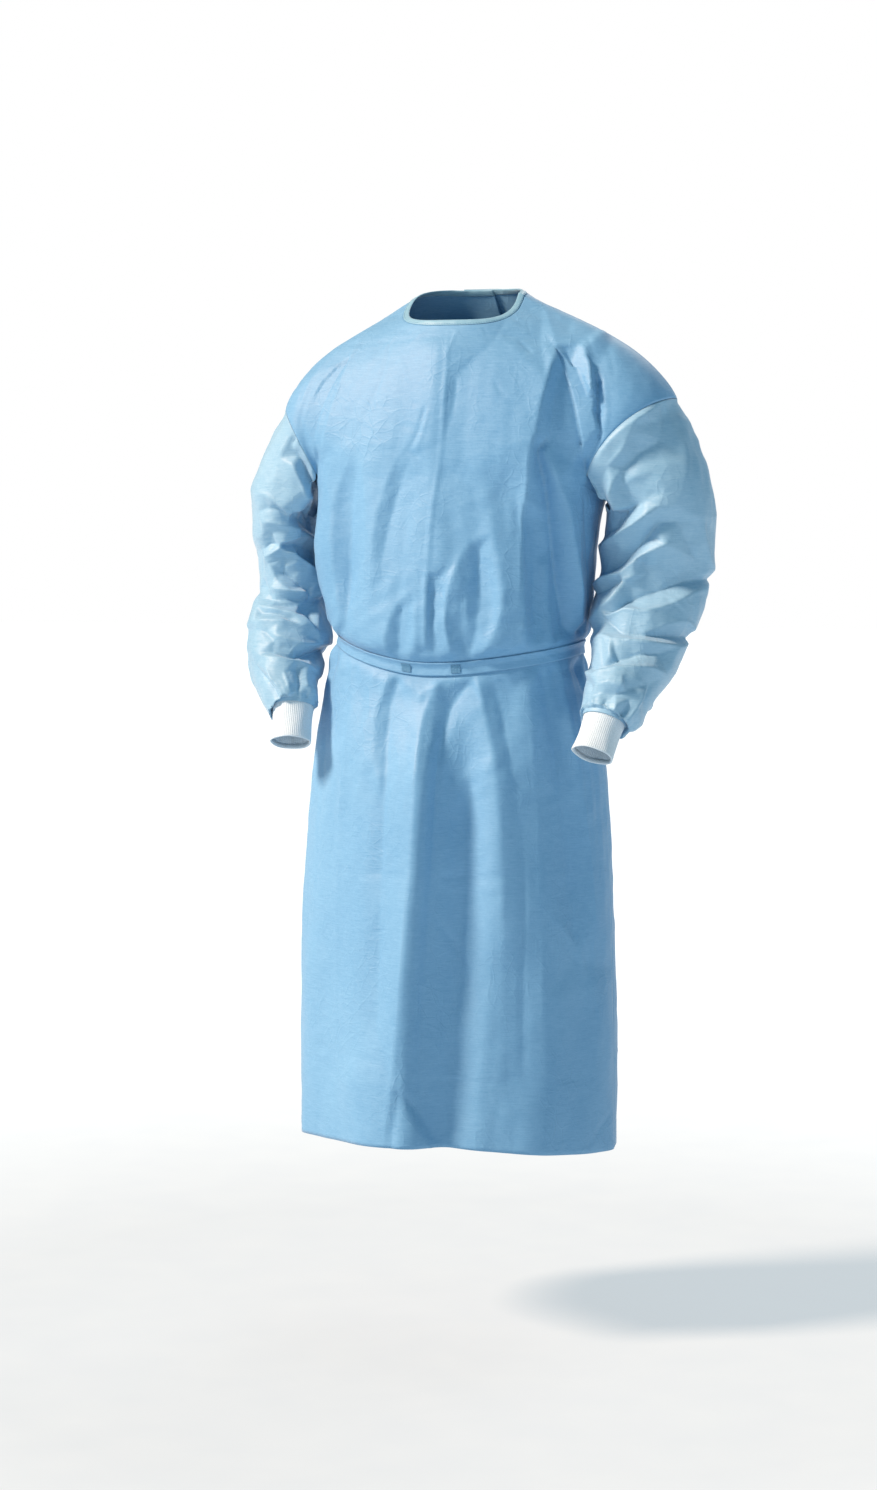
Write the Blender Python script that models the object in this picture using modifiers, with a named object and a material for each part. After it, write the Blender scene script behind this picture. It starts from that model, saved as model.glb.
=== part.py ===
"""A worn back-opening chemotherapy gown, hollow, as its wearer holds it up.

Metres, +Z up. The gown's front faces -Y and its wearer's left is +X.
The origin is at shoulder level, midway between the two sides of the neck.
Every cloth piece is an open sheet of points worked out below, thickened along its normals.
"""
import math

import bmesh
import bpy
import numpy as np
from mathutils import Matrix

# Cloth, seams and trim
WALL = 0.0016
SEAM_GAP = 0.0003
BINDING_HEIGHT = 0.008
BINDING_WALL = 0.0022
LAP = 0.0017
LAP_START = 150.0
LAP_FULL = 162.0
BELT_WIDTH = 0.020
BELT_WALL = 0.0012
BELT_LIFT = 0.0021
TAB_WALL = 0.0008
TAB_HEIGHT = 0.013
TAB_TURNS = {"right": (-17.5, -12.1), "left": (12.3, 17.7)}
KNOT_SIZE = (0.030, 0.011, 0.024)
KNOT_ROUND = 0.0045
KNOT_TURNS = 8.0
TIE_WALL = 0.0012
TIE_ROWS = 8
TIE_TOP = 0.6
TIE_DROP = 0.0016
TIE_LIFT = 0.0030
TIE_TAPER = 0.30
TIE_SETTLE = 0.25
# Columns: side, top_x, end_x, length
TIES = [
    ("right", -0.0070, -0.016, 0.235),
    ("left", 0.0070, 0.030, 0.265),
]
CUFF_WALL = 0.0018
CUFF_LENGTH = 0.062
CUFF_TUCK = 0.009
CUFF_WAIST = 0.0015

# How the sheets are divided: columns run round the body, rows run down it
ARM_FRONT = 72.0
ARM_BACK = 108.0
SIDE = 90.0
BACK = 180.0
BACK_LAP = 16.0
FRONT_STEPS = 12
ARM_STEPS = 5
BACK_STEPS = 9
LAP_STEPS = 2
YOKE_ROWS = 8
CHEST_ROWS = 7
SKIRT_ROWS = 10
SLEEVE_ROWS = 21

# Body levels: 0 is the armpit, 1 the belt, 2 the hem
ARMPIT_Z = -0.262
UNDERARM_DIP = 0.014
BELT_Z = {"front": -0.534, "left": -0.506, "right": -0.484, "back": -0.502}
HEM_Z = {"front": -1.204, "left": -1.230, "right": -1.214, "back": -1.212}
HEIGHT_CURVE = 1.5
ROW_GROWTH = 1.15
LEVEL_STEP = 0.01

# Sections of the body below the arms. shift is the x of the centre line, right and left are the
# half widths on the wearer's right (-X) and left (+X), power squares the corners.
# Columns: level, shift, right, left, front, back, power
SECTIONS = [
    (0.00, -0.012, 0.207, 0.219, 0.136, 0.138, 2.5),
    (0.18, -0.014, 0.203, 0.209, 0.141, 0.138, 2.5),
    (0.40, -0.016, 0.205, 0.203, 0.146, 0.136, 2.5),
    (0.75, -0.018, 0.190, 0.200, 0.150, 0.132, 2.4),
    (0.92, -0.018, 0.176, 0.193, 0.147, 0.128, 2.4),
    (1.00, -0.016, 0.168, 0.184, 0.136, 0.121, 2.4),
    (1.05, -0.016, 0.180, 0.190, 0.140, 0.127, 2.3),
    (1.17, -0.017, 0.198, 0.213, 0.150, 0.140, 2.2),
    (1.45, -0.024, 0.214, 0.236, 0.168, 0.165, 2.2),
    (1.75, -0.034, 0.209, 0.253, 0.182, 0.183, 2.2),
    (2.00, -0.042, 0.200, 0.262, 0.190, 0.192, 2.2),
]

# Neck edge: the top of the binding. Columns: side, half_width, side_z
NECK = [
    ("right", 0.079, -0.014),
    ("left", 0.079, 0.000),
]
NECK_CENTRE_X = -0.003
NECK_FRONT = 0.074
NECK_BACK = 0.078
NECK_FRONT_Z = -0.041
NECK_BACK_Z = 0.012
NECK_POWER = 2.3
NECK_SLOPE = {"side": (0.913, -0.407), "front": (0.50, -0.87), "back": (0.45, -0.89)}

# Outermost point of each armhole seam, on top of the dropped shoulder, and how the cloth falls there.
# Columns: side, x, y, z, out, down
SHOULDERS = [
    ("right", -0.274, 0.012, -0.160, -0.42, -0.91),
    ("left", 0.307, 0.006, -0.152, 0.47, -0.88),
]
# The armhole seam's pull at its ends, and its directions out, forward and up at the armpit
ARCH_REACH = 0.25
ARCH_LEAVES = (0.35, 0.40, 0.85)
ARCH_TOP_LEAN = 0.15

# Sleeve stations from the armhole to the cuff. across and deep are the half sizes of the oval.
# Columns: along, x, y, z, across, deep
SLEEVES = {
    "right": [
        (0.00, -0.245, 0.010, -0.218, 0.076, 0.084),
        (0.16, -0.277, 0.024, -0.286, 0.053, 0.086),
        (0.32, -0.281, 0.038, -0.345, 0.051, 0.083),
        (0.46, -0.276, 0.040, -0.395, 0.052, 0.076),
        (0.58, -0.268, 0.026, -0.440, 0.052, 0.068),
        (0.72, -0.269, -0.008, -0.490, 0.058, 0.062),
        (0.85, -0.262, -0.052, -0.541, 0.050, 0.052),
        (0.94, -0.248, -0.079, -0.573, 0.040, 0.043),
        (1.00, -0.234, -0.095, -0.594, 0.035, 0.035),
    ],
    "left": [
        (0.00, 0.262, 0.004, -0.205, 0.080, 0.086),
        (0.16, 0.278, 0.014, -0.280, 0.078, 0.084),
        (0.32, 0.275, 0.026, -0.345, 0.079, 0.081),
        (0.46, 0.267, 0.024, -0.402, 0.076, 0.075),
        (0.60, 0.258, 0.000, -0.460, 0.074, 0.068),
        (0.73, 0.257, -0.036, -0.508, 0.062, 0.060),
        (0.85, 0.248, -0.080, -0.551, 0.053, 0.052),
        (0.94, 0.241, -0.113, -0.583, 0.047, 0.045),
        (1.00, 0.233, -0.133, -0.604, 0.038, 0.036),
    ],
}
SLEEVE_SEAM_ANGLE = 125.0
SLEEVE_SEAM_FADE = 0.26
SLEEVE_EVEN_BY = 0.5
SLEEVE_NARROWS = 0.35
UNDERARM_SEAM = 0.0021
CUFF_AXIS = {"right": (0.06, -0.42, -0.905), "left": (-0.20, -0.50, -0.84)}
CUFF_ACROSS = 0.029
CUFF_DEEP = 0.026
CUFF_STEPS = 4

# Main folds. Each runs from x0, z0 down to x1, z1 over the front or back. minus_side and plus_side
# are its widths toward -X and +X, lift is outward, sharp is 1 for a pressed edge and fade is the
# part of its length over which it rises.
FOLD_COLUMNS = ("face", "x0", "z0", "x1", "z1", "minus_side", "plus_side", "lift", "sharp", "fade")
FOLDS = [
    ("front", -0.008, -0.560, -0.040, -1.230, 0.150, 0.060, 0.030, 0.8, 0.22),
    ("front", 0.035, -0.600, 0.022, -1.230, 0.045, 0.050, -0.010, 0.2, 0.20),
    ("front", 0.072, -0.560, 0.100, -0.980, 0.045, 0.060, 0.012, 0.2, 0.30),
    ("front", -0.150, -0.620, -0.160, -1.230, 0.060, 0.060, -0.010, 0.1, 0.30),
    ("front", 0.185, -0.700, 0.200, -1.230, 0.050, 0.050, -0.008, 0.1, 0.30),
    ("front", 0.090, -0.230, 0.150, -0.500, 0.045, 0.055, -0.012, 0.2, 0.30),
    ("front", -0.150, -0.220, -0.150, -0.470, 0.040, 0.050, -0.011, 0.2, 0.30),
    ("front", 0.030, -0.370, 0.050, -0.515, 0.035, 0.035, 0.010, 0.2, 0.35),
    ("front", -0.014, -0.050, -0.018, -0.515, 0.050, 0.050, 0.006, 0.5, 0.10),
    ("back", -0.060, -0.560, -0.080, -1.230, 0.070, 0.060, 0.016, 0.2, 0.25),
    ("back", 0.070, -0.560, 0.100, -1.230, 0.060, 0.070, 0.018, 0.2, 0.25),
    ("back", 0.000, -0.120, 0.010, -0.480, 0.070, 0.070, -0.010, 0.1, 0.30),
]
# A fold has its whole lift where the cloth faces -Y or +Y by at least this much
FOLD_FACING = 0.6

CLOTH = (0.36, 0.60, 0.78, 1.0)
SLEEVE_CLOTH = (0.40, 0.63, 0.79, 1.0)
KNIT = (0.86, 0.86, 0.90, 1.0)
EDGING = (0.33, 0.58, 0.74, 1.0)


def ramp(value, start, end):
    """Smooth 0 to 1 between start and end."""
    part = np.clip((value - start) / (end - start), 0.0, 1.0)
    return part * part * (3.0 - 2.0 * part)


def unit(vectors):
    """Vectors of length one, along the last axis."""
    vectors = np.asarray(vectors, float)
    return vectors / np.linalg.norm(vectors, axis=-1, keepdims=True)


def hermite(start, start_pull, end, end_pull, part):
    """Point on the cubic that leaves start along start_pull and reaches end along end_pull."""
    square, cube = part * part, part * part * part
    leave = (2 * cube - 3 * square + 1) * start + (cube - 2 * square + part) * start_pull
    return leave + (3 * square - 2 * cube) * end + (cube - square) * end_pull


def read_smooth(rows, at):
    """A table's other columns at values of its first, on a smooth curve: one row for each value."""
    table = np.array(rows, float)
    keys = table[:, 0]
    at = np.clip(np.atleast_1d(at).astype(float), keys[0], keys[-1])
    place = np.clip(np.searchsorted(keys, at) - 1, 0, len(keys) - 2)
    slopes = np.gradient(table, keys, axis=0)
    gap = (keys[place + 1] - keys[place])[:, None]
    part = (at - keys[place])[:, None] / gap
    ends = table[place], slopes[place] * gap, table[place + 1], slopes[place + 1] * gap
    return hermite(*ends, part)[:, 1:]


def wrap(turns):
    """Turns in degrees from the front centre, between -180 and 180, positive toward +X."""
    return (np.asarray(turns, float) + 180.0) % 360.0 - 180.0


def by_side(turns, right, left):
    """One value for turns on the wearer's right, another for those on the left."""
    return np.where(wrap(turns) < 0, right, left)


def facing(turns):
    """1 at the front centre, -1 at the back centre."""
    return np.cos(np.radians(turns))


def oval(turns, across, deep, power):
    """Points x, y of a squared oval in the directions turns, 0 being -Y and 90 being +X."""
    angle = np.radians(turns)
    reach = (np.abs(np.sin(angle)) / across) ** power + (np.abs(np.cos(angle)) / deep) ** power
    radius = reach ** (-1.0 / power)
    return radius * np.sin(angle), -radius * np.cos(angle)


def height_round(heights, turns):
    """Height of the belt or the hem, from its heights at the front, back and sides."""
    centre = np.where(facing(turns) > 0, heights["front"], heights["back"])
    side = by_side(turns, heights["right"], heights["left"])
    return side + (centre - side) * np.abs(facing(turns)) ** HEIGHT_CURVE


def armpit_z(turns):
    away = np.abs(np.abs(wrap(turns)) - SIDE) / (SIDE - ARM_FRONT)
    return ARMPIT_Z - UNDERARM_DIP * (1.0 - ramp(away, 0.0, 1.0))


def body_points(turns, level, rise=0.0):
    """Points on the body below the arms, rise above the height that their level gives."""
    top, middle = armpit_z(turns), height_round(BELT_Z, turns)
    if level < 1.0 or rise > 0:
        span = top - middle
        z = top - span * level + rise
    else:
        span = middle - height_round(HEM_Z, turns)
        z = middle - span * (level - 1.0) + rise
    shift, right, left, front, back, power = read_smooth(SECTIONS, level - rise / span).T
    across = by_side(turns, right, left)
    deep = np.where(np.abs(wrap(turns)) < SIDE, front, back)
    x, y = oval(turns, across, deep, power)
    return np.stack([shift + x, y, z], axis=-1)


def neck_points(turns):
    """Points on the neck's top edge."""
    half_width = by_side(turns, *[row[1] for row in NECK])
    side_height = by_side(turns, *[row[2] for row in NECK])
    front = np.abs(wrap(turns)) < SIDE
    x, y = oval(turns, half_width, np.where(front, NECK_FRONT, NECK_BACK), NECK_POWER)
    centre = np.where(front, NECK_FRONT_Z, NECK_BACK_Z)
    z = side_height + (centre - side_height) * (1.0 - (1.0 - np.abs(facing(turns))) ** 2)
    return np.stack([NECK_CENTRE_X + x, y, z], axis=-1)


def neck_slopes(turns):
    """Directions in which the cloth leaves the neck."""
    front = facing(turns) > 0
    out, down = NECK_SLOPE["side"]
    along = np.where(front, NECK_SLOPE["front"][0], NECK_SLOPE["back"][0])
    fall = np.where(front, NECK_SLOPE["front"][1], NECK_SLOPE["back"][1])
    x = out * np.sin(np.radians(turns))
    z = down + (fall - down) * facing(turns) ** 2
    return unit(np.stack([x, -along * facing(turns), z], axis=-1))


def armhole_points(turns):
    """Points of the armhole seams over the top of the arms, and how the cloth falls there."""
    sign = by_side(turns, -1.0, 1.0)
    place = np.abs(wrap(turns))
    before = place < SIDE
    forward = np.where(before, -1.0, 1.0)
    flat = np.zeros_like(sign)
    top = np.stack([by_side(turns, *[row[column] for row in SHOULDERS]) for column in (1, 2, 3)], axis=-1)
    corner = body_points(sign * np.where(before, ARM_FRONT, ARM_BACK), 0.0)
    leaves_out, leaves_forward, leaves_up = ARCH_LEAVES
    leave = np.stack([leaves_out * sign, leaves_forward * forward, flat + leaves_up], axis=-1)
    reach = np.stack([ARCH_TOP_LEAN * sign, -forward, flat], axis=-1)
    part = np.clip((SIDE - np.abs(place - SIDE) - ARM_FRONT) / (SIDE - ARM_FRONT), 0.0, 1.0)[:, None]
    out, down = (by_side(turns, *[row[column] for row in SHOULDERS]) for column in (4, 5))
    fall = part * np.stack([out, flat, down], axis=-1) + (1.0 - part) * np.array([0.0, 0.0, -1.0])
    seam = hermite(corner, ARCH_REACH * unit(leave), top, ARCH_REACH * unit(reach), part)
    return seam, unit(fall)


def yoke_points(turns, part):
    """Points between the neck, part 0, and the armpit level or armhole, part 1."""
    turns = np.asarray(turns, float)
    slopes = neck_slopes(turns)
    start = neck_points(turns) + BINDING_HEIGHT * slopes
    over_arm = (np.abs(np.abs(wrap(turns)) - SIDE) < SIDE - ARM_FRONT)[:, None]
    arch, fall = armhole_points(turns)
    end = np.where(over_arm, arch, body_points(turns, 0.0))
    fall = np.where(over_arm, fall, [0.0, 0.0, -1.0])
    pull = np.linalg.norm(end - start, axis=-1, keepdims=True)
    return hermite(start, pull * slopes, end, pull * fall, part)


def fold_lift(face, x, z):
    """Outward lift of the main folds at x and z on one face, for arrays of points."""
    total = np.zeros_like(x)
    for row in FOLDS:
        fold = dict(zip(FOLD_COLUMNS, row))
        if fold["face"] != face:
            continue
        run = np.array([fold["x1"] - fold["x0"], fold["z1"] - fold["z0"]])
        length = np.linalg.norm(run)
        run = run / length
        along = (x - fold["x0"]) * run[0] + (z - fold["z0"]) * run[1]
        beyond = along - np.clip(along, 0.0, length)
        side = (x - fold["x0"]) * -run[1] + (z - fold["z0"]) * run[0]
        width = np.where(side > 0, fold["plus_side"], fold["minus_side"])
        away = np.clip(np.hypot(side, beyond) / width, 0.0, 1.0)
        soft = 0.5 + 0.5 * np.cos(math.pi * away)
        shape = fold["sharp"] * (1.0 - away) + (1.0 - fold["sharp"]) * soft
        fade = fold["fade"] * length
        held = ramp(along, 0.0, fade)
        if fold["z1"] > HEM_Z["left"]:
            held = held * (1.0 - ramp(along, length - fade, length))
        total += fold["lift"] * shape * held
    return total


def lap_offset(turns):
    """Outward for the panel that laps over at the back, inward for the one under it."""
    return np.sign(turns) * LAP * ramp(np.abs(turns), LAP_START, LAP_FULL)


def over_the_lap(turns):
    """Outward on both sides of the centre back, for what lies on the lapped panels."""
    return np.abs(lap_offset(turns))


def shaped(points_at, rows, turns, lift=0.0, lap=lap_offset):
    """Points and normals of a body grid, with its folds, its lap and a lift along its normals."""
    grid = np.array([points_at(turns, *row) for row in rows])
    near = 0.5
    across = np.array([points_at(turns + near, *row) - points_at(turns - near, *row) for row in rows])
    normal = unit(np.cross(across, np.gradient(grid, axis=0)))
    angle = np.radians(turns)
    outward = np.stack([np.sin(angle), -np.cos(angle), 0.4 + 0.0 * angle], axis=1)[None, :, :]
    normal *= np.where(np.sum(normal * outward, axis=2, keepdims=True) < 0, -1.0, 1.0)
    x, z = grid[:, :, 0], grid[:, :, 2]
    height = fold_lift("front", x, z) * ramp(-normal[:, :, 1], 0.0, FOLD_FACING)
    height += fold_lift("back", x, z) * ramp(normal[:, :, 1], 0.0, FOLD_FACING)
    height += lap(turns)[None, :] + lift
    return grid + normal * height[:, :, None], normal


def columns(panel_side, lap=0.0):
    """Turns of a panel's columns, from the front centre or the side seam to its other edge."""
    front = np.linspace(0.0, ARM_FRONT, FRONT_STEPS + 1)
    arm = np.linspace(ARM_FRONT, SIDE, ARM_STEPS + 1)
    if panel_side == "front":
        half = np.concatenate([front, arm[1:]])
        return np.concatenate([-half[:0:-1], half])
    rear = np.concatenate([
        np.linspace(SIDE, ARM_BACK, ARM_STEPS + 1),
        np.linspace(ARM_BACK, BACK, BACK_STEPS + 1)[1:],
    ])
    if lap:
        rear = np.concatenate([rear, np.linspace(BACK, BACK + lap, LAP_STEPS + 1)[1:]])
    return rear if panel_side == "left" else -rear


def yoke_rows():
    """Part of the way from the neck to the armpit of each yoke row."""
    return [(part,) for part in np.linspace(0.0, 1.0, YOKE_ROWS + 1)]


def body_rows():
    """Level and rise of each row below the arms. Two rows are the belt's edges."""
    half = BELT_WIDTH / 2
    chest = [(level, 0.0) for level in np.linspace(0.0, 1.0, CHEST_ROWS + 1)[:-1]]
    skirt = [(level, 0.0) for level in 1.0 + np.linspace(0.0, 1.0, SKIRT_ROWS + 1)[1:] ** ROW_GROWTH]
    return chest + [(1.0, half), (1.0, -half)] + skirt


def grid_faces(rows, count, closed=False, start=0):
    """Quads of a grid of rows by count points, its last column joined to its first if closed."""
    faces = []
    for row in range(rows - 1):
        for column in range(count if closed else count - 1):
            beside = (column + 1) % count
            here, below = start + row * count, start + (row + 1) * count
            faces.append((here + column, here + beside, below + beside, below + column))
    return faces


def material(name, colour, roughness):
    """A Principled material."""
    made = bpy.data.materials.new(name)
    made.use_nodes = True
    shader = made.node_tree.nodes["Principled BSDF"]
    shader.inputs["Base Color"].default_value = colour
    shader.inputs["Roughness"].default_value = roughness
    return made


def open_edges(faces):
    """The edges that only one face has, in that face's direction."""
    seen = {}
    for face in faces:
        for start, end in zip(face, face[1:] + face[:1]):
            seen[(start, end)] = True
    return [edge for edge in seen if (edge[1], edge[0]) not in seen]


def wall_object(name, points, normals, faces, wall, finish, home):
    """A named closed object: a sheet of faces thickened by half a wall to each side."""
    points, normals = np.asarray(points), np.asarray(normals)
    count = len(points)
    corners = np.concatenate([points + normals * wall / 2, points - normals * wall / 2])
    inner = [tuple(corner + count for corner in face[::-1]) for face in faces]
    rim = [(end, start, start + count, end + count) for start, end in open_edges(faces)]
    mesh = bpy.data.meshes.new(name)
    mesh.from_pydata([tuple(corner) for corner in corners], [], faces + inner + rim)
    work = bmesh.new()
    work.from_mesh(mesh)
    bmesh.ops.recalc_face_normals(work, faces=work.faces)
    work.to_mesh(mesh)
    work.free()
    mesh.shade_smooth()
    mesh.set_sharp_from_angle(angle=math.radians(50.0))
    mesh.materials.append(finish)
    made = bpy.data.objects.new(name, mesh)
    home.objects.link(made)
    return made


def seam_shift(grid, normals, edge, gap):
    """Move one edge column of a grid in by gap, toward the column beside it."""
    at, beside = {"first": (0, 1), "last": (-1, -2)}[edge]
    step = grid[:, beside] - grid[:, at]
    step -= normals[:, at] * np.sum(step * normals[:, at], axis=1, keepdims=True)
    grid[:, at] += gap * unit(step)


def over_arm(turns):
    """True for the columns that the armhole parts."""
    return np.abs(np.abs(wrap(turns)) - SIDE) < SIDE - ARM_FRONT - 0.01


def panel(name, turns, seams, finish, home):
    """One body panel: yoke and body share their row at the armpit, but not at the armhole."""
    yoke, yoke_normals = shaped(yoke_points, yoke_rows(), turns)
    body, body_normals = shaped(body_points, body_rows(), turns)
    shared = ~over_arm(turns)
    joined = unit(yoke_normals[-1] + body_normals[0])
    yoke_normals[-1, shared] = joined[shared]
    yoke[-1, shared] = body[0, shared]
    apart = over_arm(turns)
    yoke[-1, apart] += SEAM_GAP * unit(yoke[-2, apart] - yoke[-1, apart])
    for seam in seams:
        seam_shift(yoke, yoke_normals, seam, SEAM_GAP / 2)
        seam_shift(body, body_normals, seam, SEAM_GAP / 2)
    points = np.concatenate([yoke.reshape(-1, 3), body.reshape(-1, 3)])
    normals = np.concatenate([yoke_normals.reshape(-1, 3), body_normals.reshape(-1, 3)])
    count = len(turns)
    split = len(yoke) * count
    faces = grid_faces(len(yoke), count) + grid_faces(len(body), count, start=split)
    same = {split + column: split - count + column for column in range(count) if shared[column]}
    faces = [tuple(same.get(corner, corner) for corner in face) for face in faces]
    used = sorted({corner for face in faces for corner in face})
    place = {corner: index for index, corner in enumerate(used)}
    faces = [tuple(place[corner] for corner in face) for face in faces]
    return wall_object(name, points[used], normals[used], faces, WALL, finish, home)


def armhole_loop(side):
    """The armhole seam, over the arm from front to back and then under it, with its normals."""
    sign = 1.0 if side == "left" else -1.0
    turns = sign * np.linspace(ARM_FRONT, ARM_BACK, 2 * ARM_STEPS + 1)
    over, over_normals = shaped(yoke_points, yoke_rows(), turns)
    under, under_normals = shaped(body_points, body_rows(), turns)
    arch = over[-1] + SEAM_GAP * unit(over[-1] - over[-2])
    arch_normals = over_normals[-1].copy()
    pit = under[0] + UNDERARM_SEAM * under_normals[0]
    arch[0], arch[-1] = pit[0], pit[-1]
    return np.concatenate([arch, pit[-2:0:-1]]), arch_normals


def sleeve_frame(side, along):
    """Centre, outward and forward directions and half sizes of the sleeve at one station."""
    at = [along, along + LEVEL_STEP, along - LEVEL_STEP]
    values, ahead, behind = read_smooth(SLEEVES[side], at)
    run = unit(ahead[:3] - behind[:3])
    out = np.array([1.0 if side == "left" else -1.0, 0.0, 0.0])
    out = unit(out - run * np.dot(out, run))
    forward = unit(np.cross(run, out))
    if forward[1] > 0:
        forward = -forward
    return values[:3], run, out, forward, values[3], values[4]


def sleeve_angles(blend):
    """Angle of each sleeve column, 0 outward and 90 forward, from the armhole to an even spread."""
    count = 2 * ARM_STEPS
    seam_over = np.linspace(SLEEVE_SEAM_ANGLE, -SLEEVE_SEAM_ANGLE, count + 1)
    seam_under = np.linspace(-SLEEVE_SEAM_ANGLE, SLEEVE_SEAM_ANGLE - 360.0, count + 1)
    even_over = np.linspace(90.0, -90.0, count + 1)
    even_under = np.linspace(-90.0, -270.0, count + 1)
    seam = np.concatenate([seam_over, seam_under[1:-1]])
    even = np.concatenate([even_over, even_under[1:-1]])
    return seam + (even - seam) * blend


def ellipse(centre, out, forward, across, deep, angles):
    """Points of an oval ring, at angles from its outward direction."""
    angles = np.radians(angles)[:, None]
    return centre + across * np.cos(angles) * out + deep * np.sin(angles) * forward


def sleeve_ring(side, along, first):
    """One ring of the sleeve. first is the armhole seam, which the rings leave smoothly."""
    centre, run, out, forward, across, deep = sleeve_frame(side, along)
    ring = ellipse(centre, out, forward, across, deep, sleeve_angles(ramp(along, 0.0, SLEEVE_EVEN_BY)))
    start, start_run, start_out, start_forward = sleeve_frame(side, 0.0)[:4]
    away = first - start
    carried = centre + (away @ start_out)[:, None] * out + (away @ start_forward)[:, None] * forward
    carried += (away @ start_run)[:, None] * run
    held = 1.0 - ramp(along, 0.0, SLEEVE_SEAM_FADE)
    return held * carried + (1.0 - held) * ring


def cuff_ring(side, drop, grow):
    """One ring of the cuff, drop below its top edge along its axis and grow wider than it."""
    axis = unit(CUFF_AXIS[side])
    centre = np.array(SLEEVES[side][-1][1:4]) + axis * (drop - CUFF_TUCK)
    out = np.array([1.0 if side == "left" else -1.0, 0.0, 0.0])
    out = unit(out - axis * np.dot(out, axis))
    forward = np.cross(axis, out)
    if forward[1] > 0:
        forward = -forward
    return ellipse(centre, out, forward, CUFF_ACROSS + grow, CUFF_DEEP + grow, sleeve_angles(1.0))


def tube_normals(rings):
    """Outward normals of a stack of closed rings."""
    across = np.roll(rings, -1, axis=1) - np.roll(rings, 1, axis=1)
    normal = unit(np.cross(across, np.gradient(rings, axis=0)))
    outward = rings - rings.mean(axis=1, keepdims=True)
    return normal * np.where(np.sum(normal * outward, axis=2, keepdims=True) < 0, -1.0, 1.0)


def sleeve(side, finish, home):
    """A sleeve from the armhole seam to the ring that is gathered onto the cuff."""
    first, arch_normals = armhole_loop(side)
    stations = np.linspace(0.0, 1.0, SLEEVE_ROWS + 1)
    rings = [first] + [sleeve_ring(side, along, first) for along in stations[1:]]
    snug = CUFF_WALL / 2 + SEAM_GAP + WALL / 2
    rings.append(cuff_ring(side, CUFF_TUCK * SLEEVE_NARROWS, snug + 4 * SEAM_GAP))
    rings.append(cuff_ring(side, CUFF_TUCK, snug))
    rings = np.array(rings)
    normals = tube_normals(rings)
    normals[0, 1:len(arch_normals) - 1] = arch_normals[1:-1]
    faces = grid_faces(len(rings), len(first), closed=True)
    return wall_object(f"sleeve_{side}", rings.reshape(-1, 3), normals.reshape(-1, 3), faces,
                       WALL, finish, home)


def cuff(side, finish, home):
    """A knit cuff, slightly drawn in below its top."""
    drops = [0.0, *np.linspace(CUFF_TUCK, CUFF_LENGTH, CUFF_STEPS)]
    below = np.maximum(np.array(drops) - CUFF_TUCK, 0.0) / (CUFF_LENGTH - CUFF_TUCK)
    rings = [cuff_ring(side, drop, -CUFF_WAIST * math.sin(math.pi * part))
             for drop, part in zip(drops, below)]
    rings = np.array(rings)
    faces = grid_faces(len(rings), rings.shape[1], closed=True)
    return wall_object(f"cuff_{side}", rings.reshape(-1, 3), tube_normals(rings).reshape(-1, 3),
                       faces, CUFF_WALL, finish, home)


def binding_points(turns, drop):
    """Points of the neck binding, drop below its top edge."""
    return neck_points(turns) + drop * neck_slopes(turns)


def neck_binding(finish, home):
    """The folded band on the neck edge, open at the centre back where its ends lap."""
    rear = columns("left", BACK_LAP)[1:]
    turns = np.concatenate([-rear[::-1], columns("front"), rear])
    rows = [(0.0,), (BINDING_HEIGHT - SEAM_GAP,)]
    grid, normals = shaped(binding_points, rows, turns)
    yoke_normals = shaped(yoke_points, yoke_rows(), turns)[1][0]
    normals[:] = yoke_normals
    return wall_object("neck_binding", grid.reshape(-1, 3), normals.reshape(-1, 3),
                       grid_faces(2, len(turns)), BINDING_WALL, finish, home)


def belt_grid(turns):
    """The body's two rows under the belt, moved out, and over the lap at the back."""
    grid, normals = shaped(body_points, body_rows(), turns, BELT_LIFT, over_the_lap)
    return grid[CHEST_ROWS:CHEST_ROWS + 2], normals[CHEST_ROWS:CHEST_ROWS + 2]


def belt(finish, home):
    """The strap round the waist, joined behind the knot."""
    turns = np.concatenate([columns("front"), columns("left")[1:], columns("right")[-2:0:-1]])
    grid, normals = belt_grid(turns)
    return wall_object("belt", grid.reshape(-1, 3), normals.reshape(-1, 3),
                       grid_faces(2, len(turns), closed=True), BELT_WALL, finish, home)


def belt_tab(side, finish, home):
    """One of the two bonded tabs that hold the belt to the front, flat on one face of the belt."""
    step = ARM_FRONT / FRONT_STEPS
    low = math.floor(TAB_TURNS[side][0] / step) * step
    grid, normals = belt_grid(np.array([low, low + step]))
    normal = unit(normals.sum(axis=(0, 1)))
    lift = BELT_WALL / 2 + SEAM_GAP + TAB_WALL / 2
    half = TAB_HEIGHT / BELT_WIDTH / 2
    points = []
    for down in (0.5 - half, 0.5 + half):
        edge = grid[0] + (grid[1] - grid[0]) * down
        for turn in TAB_TURNS[side]:
            points.append(edge[0] + (edge[1] - edge[0]) * (turn - low) / step + normal * lift)
    return wall_object(f"belt_tab_{side}", points, [normal] * 4, grid_faces(2, 2),
                       TAB_WALL, finish, home)


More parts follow.
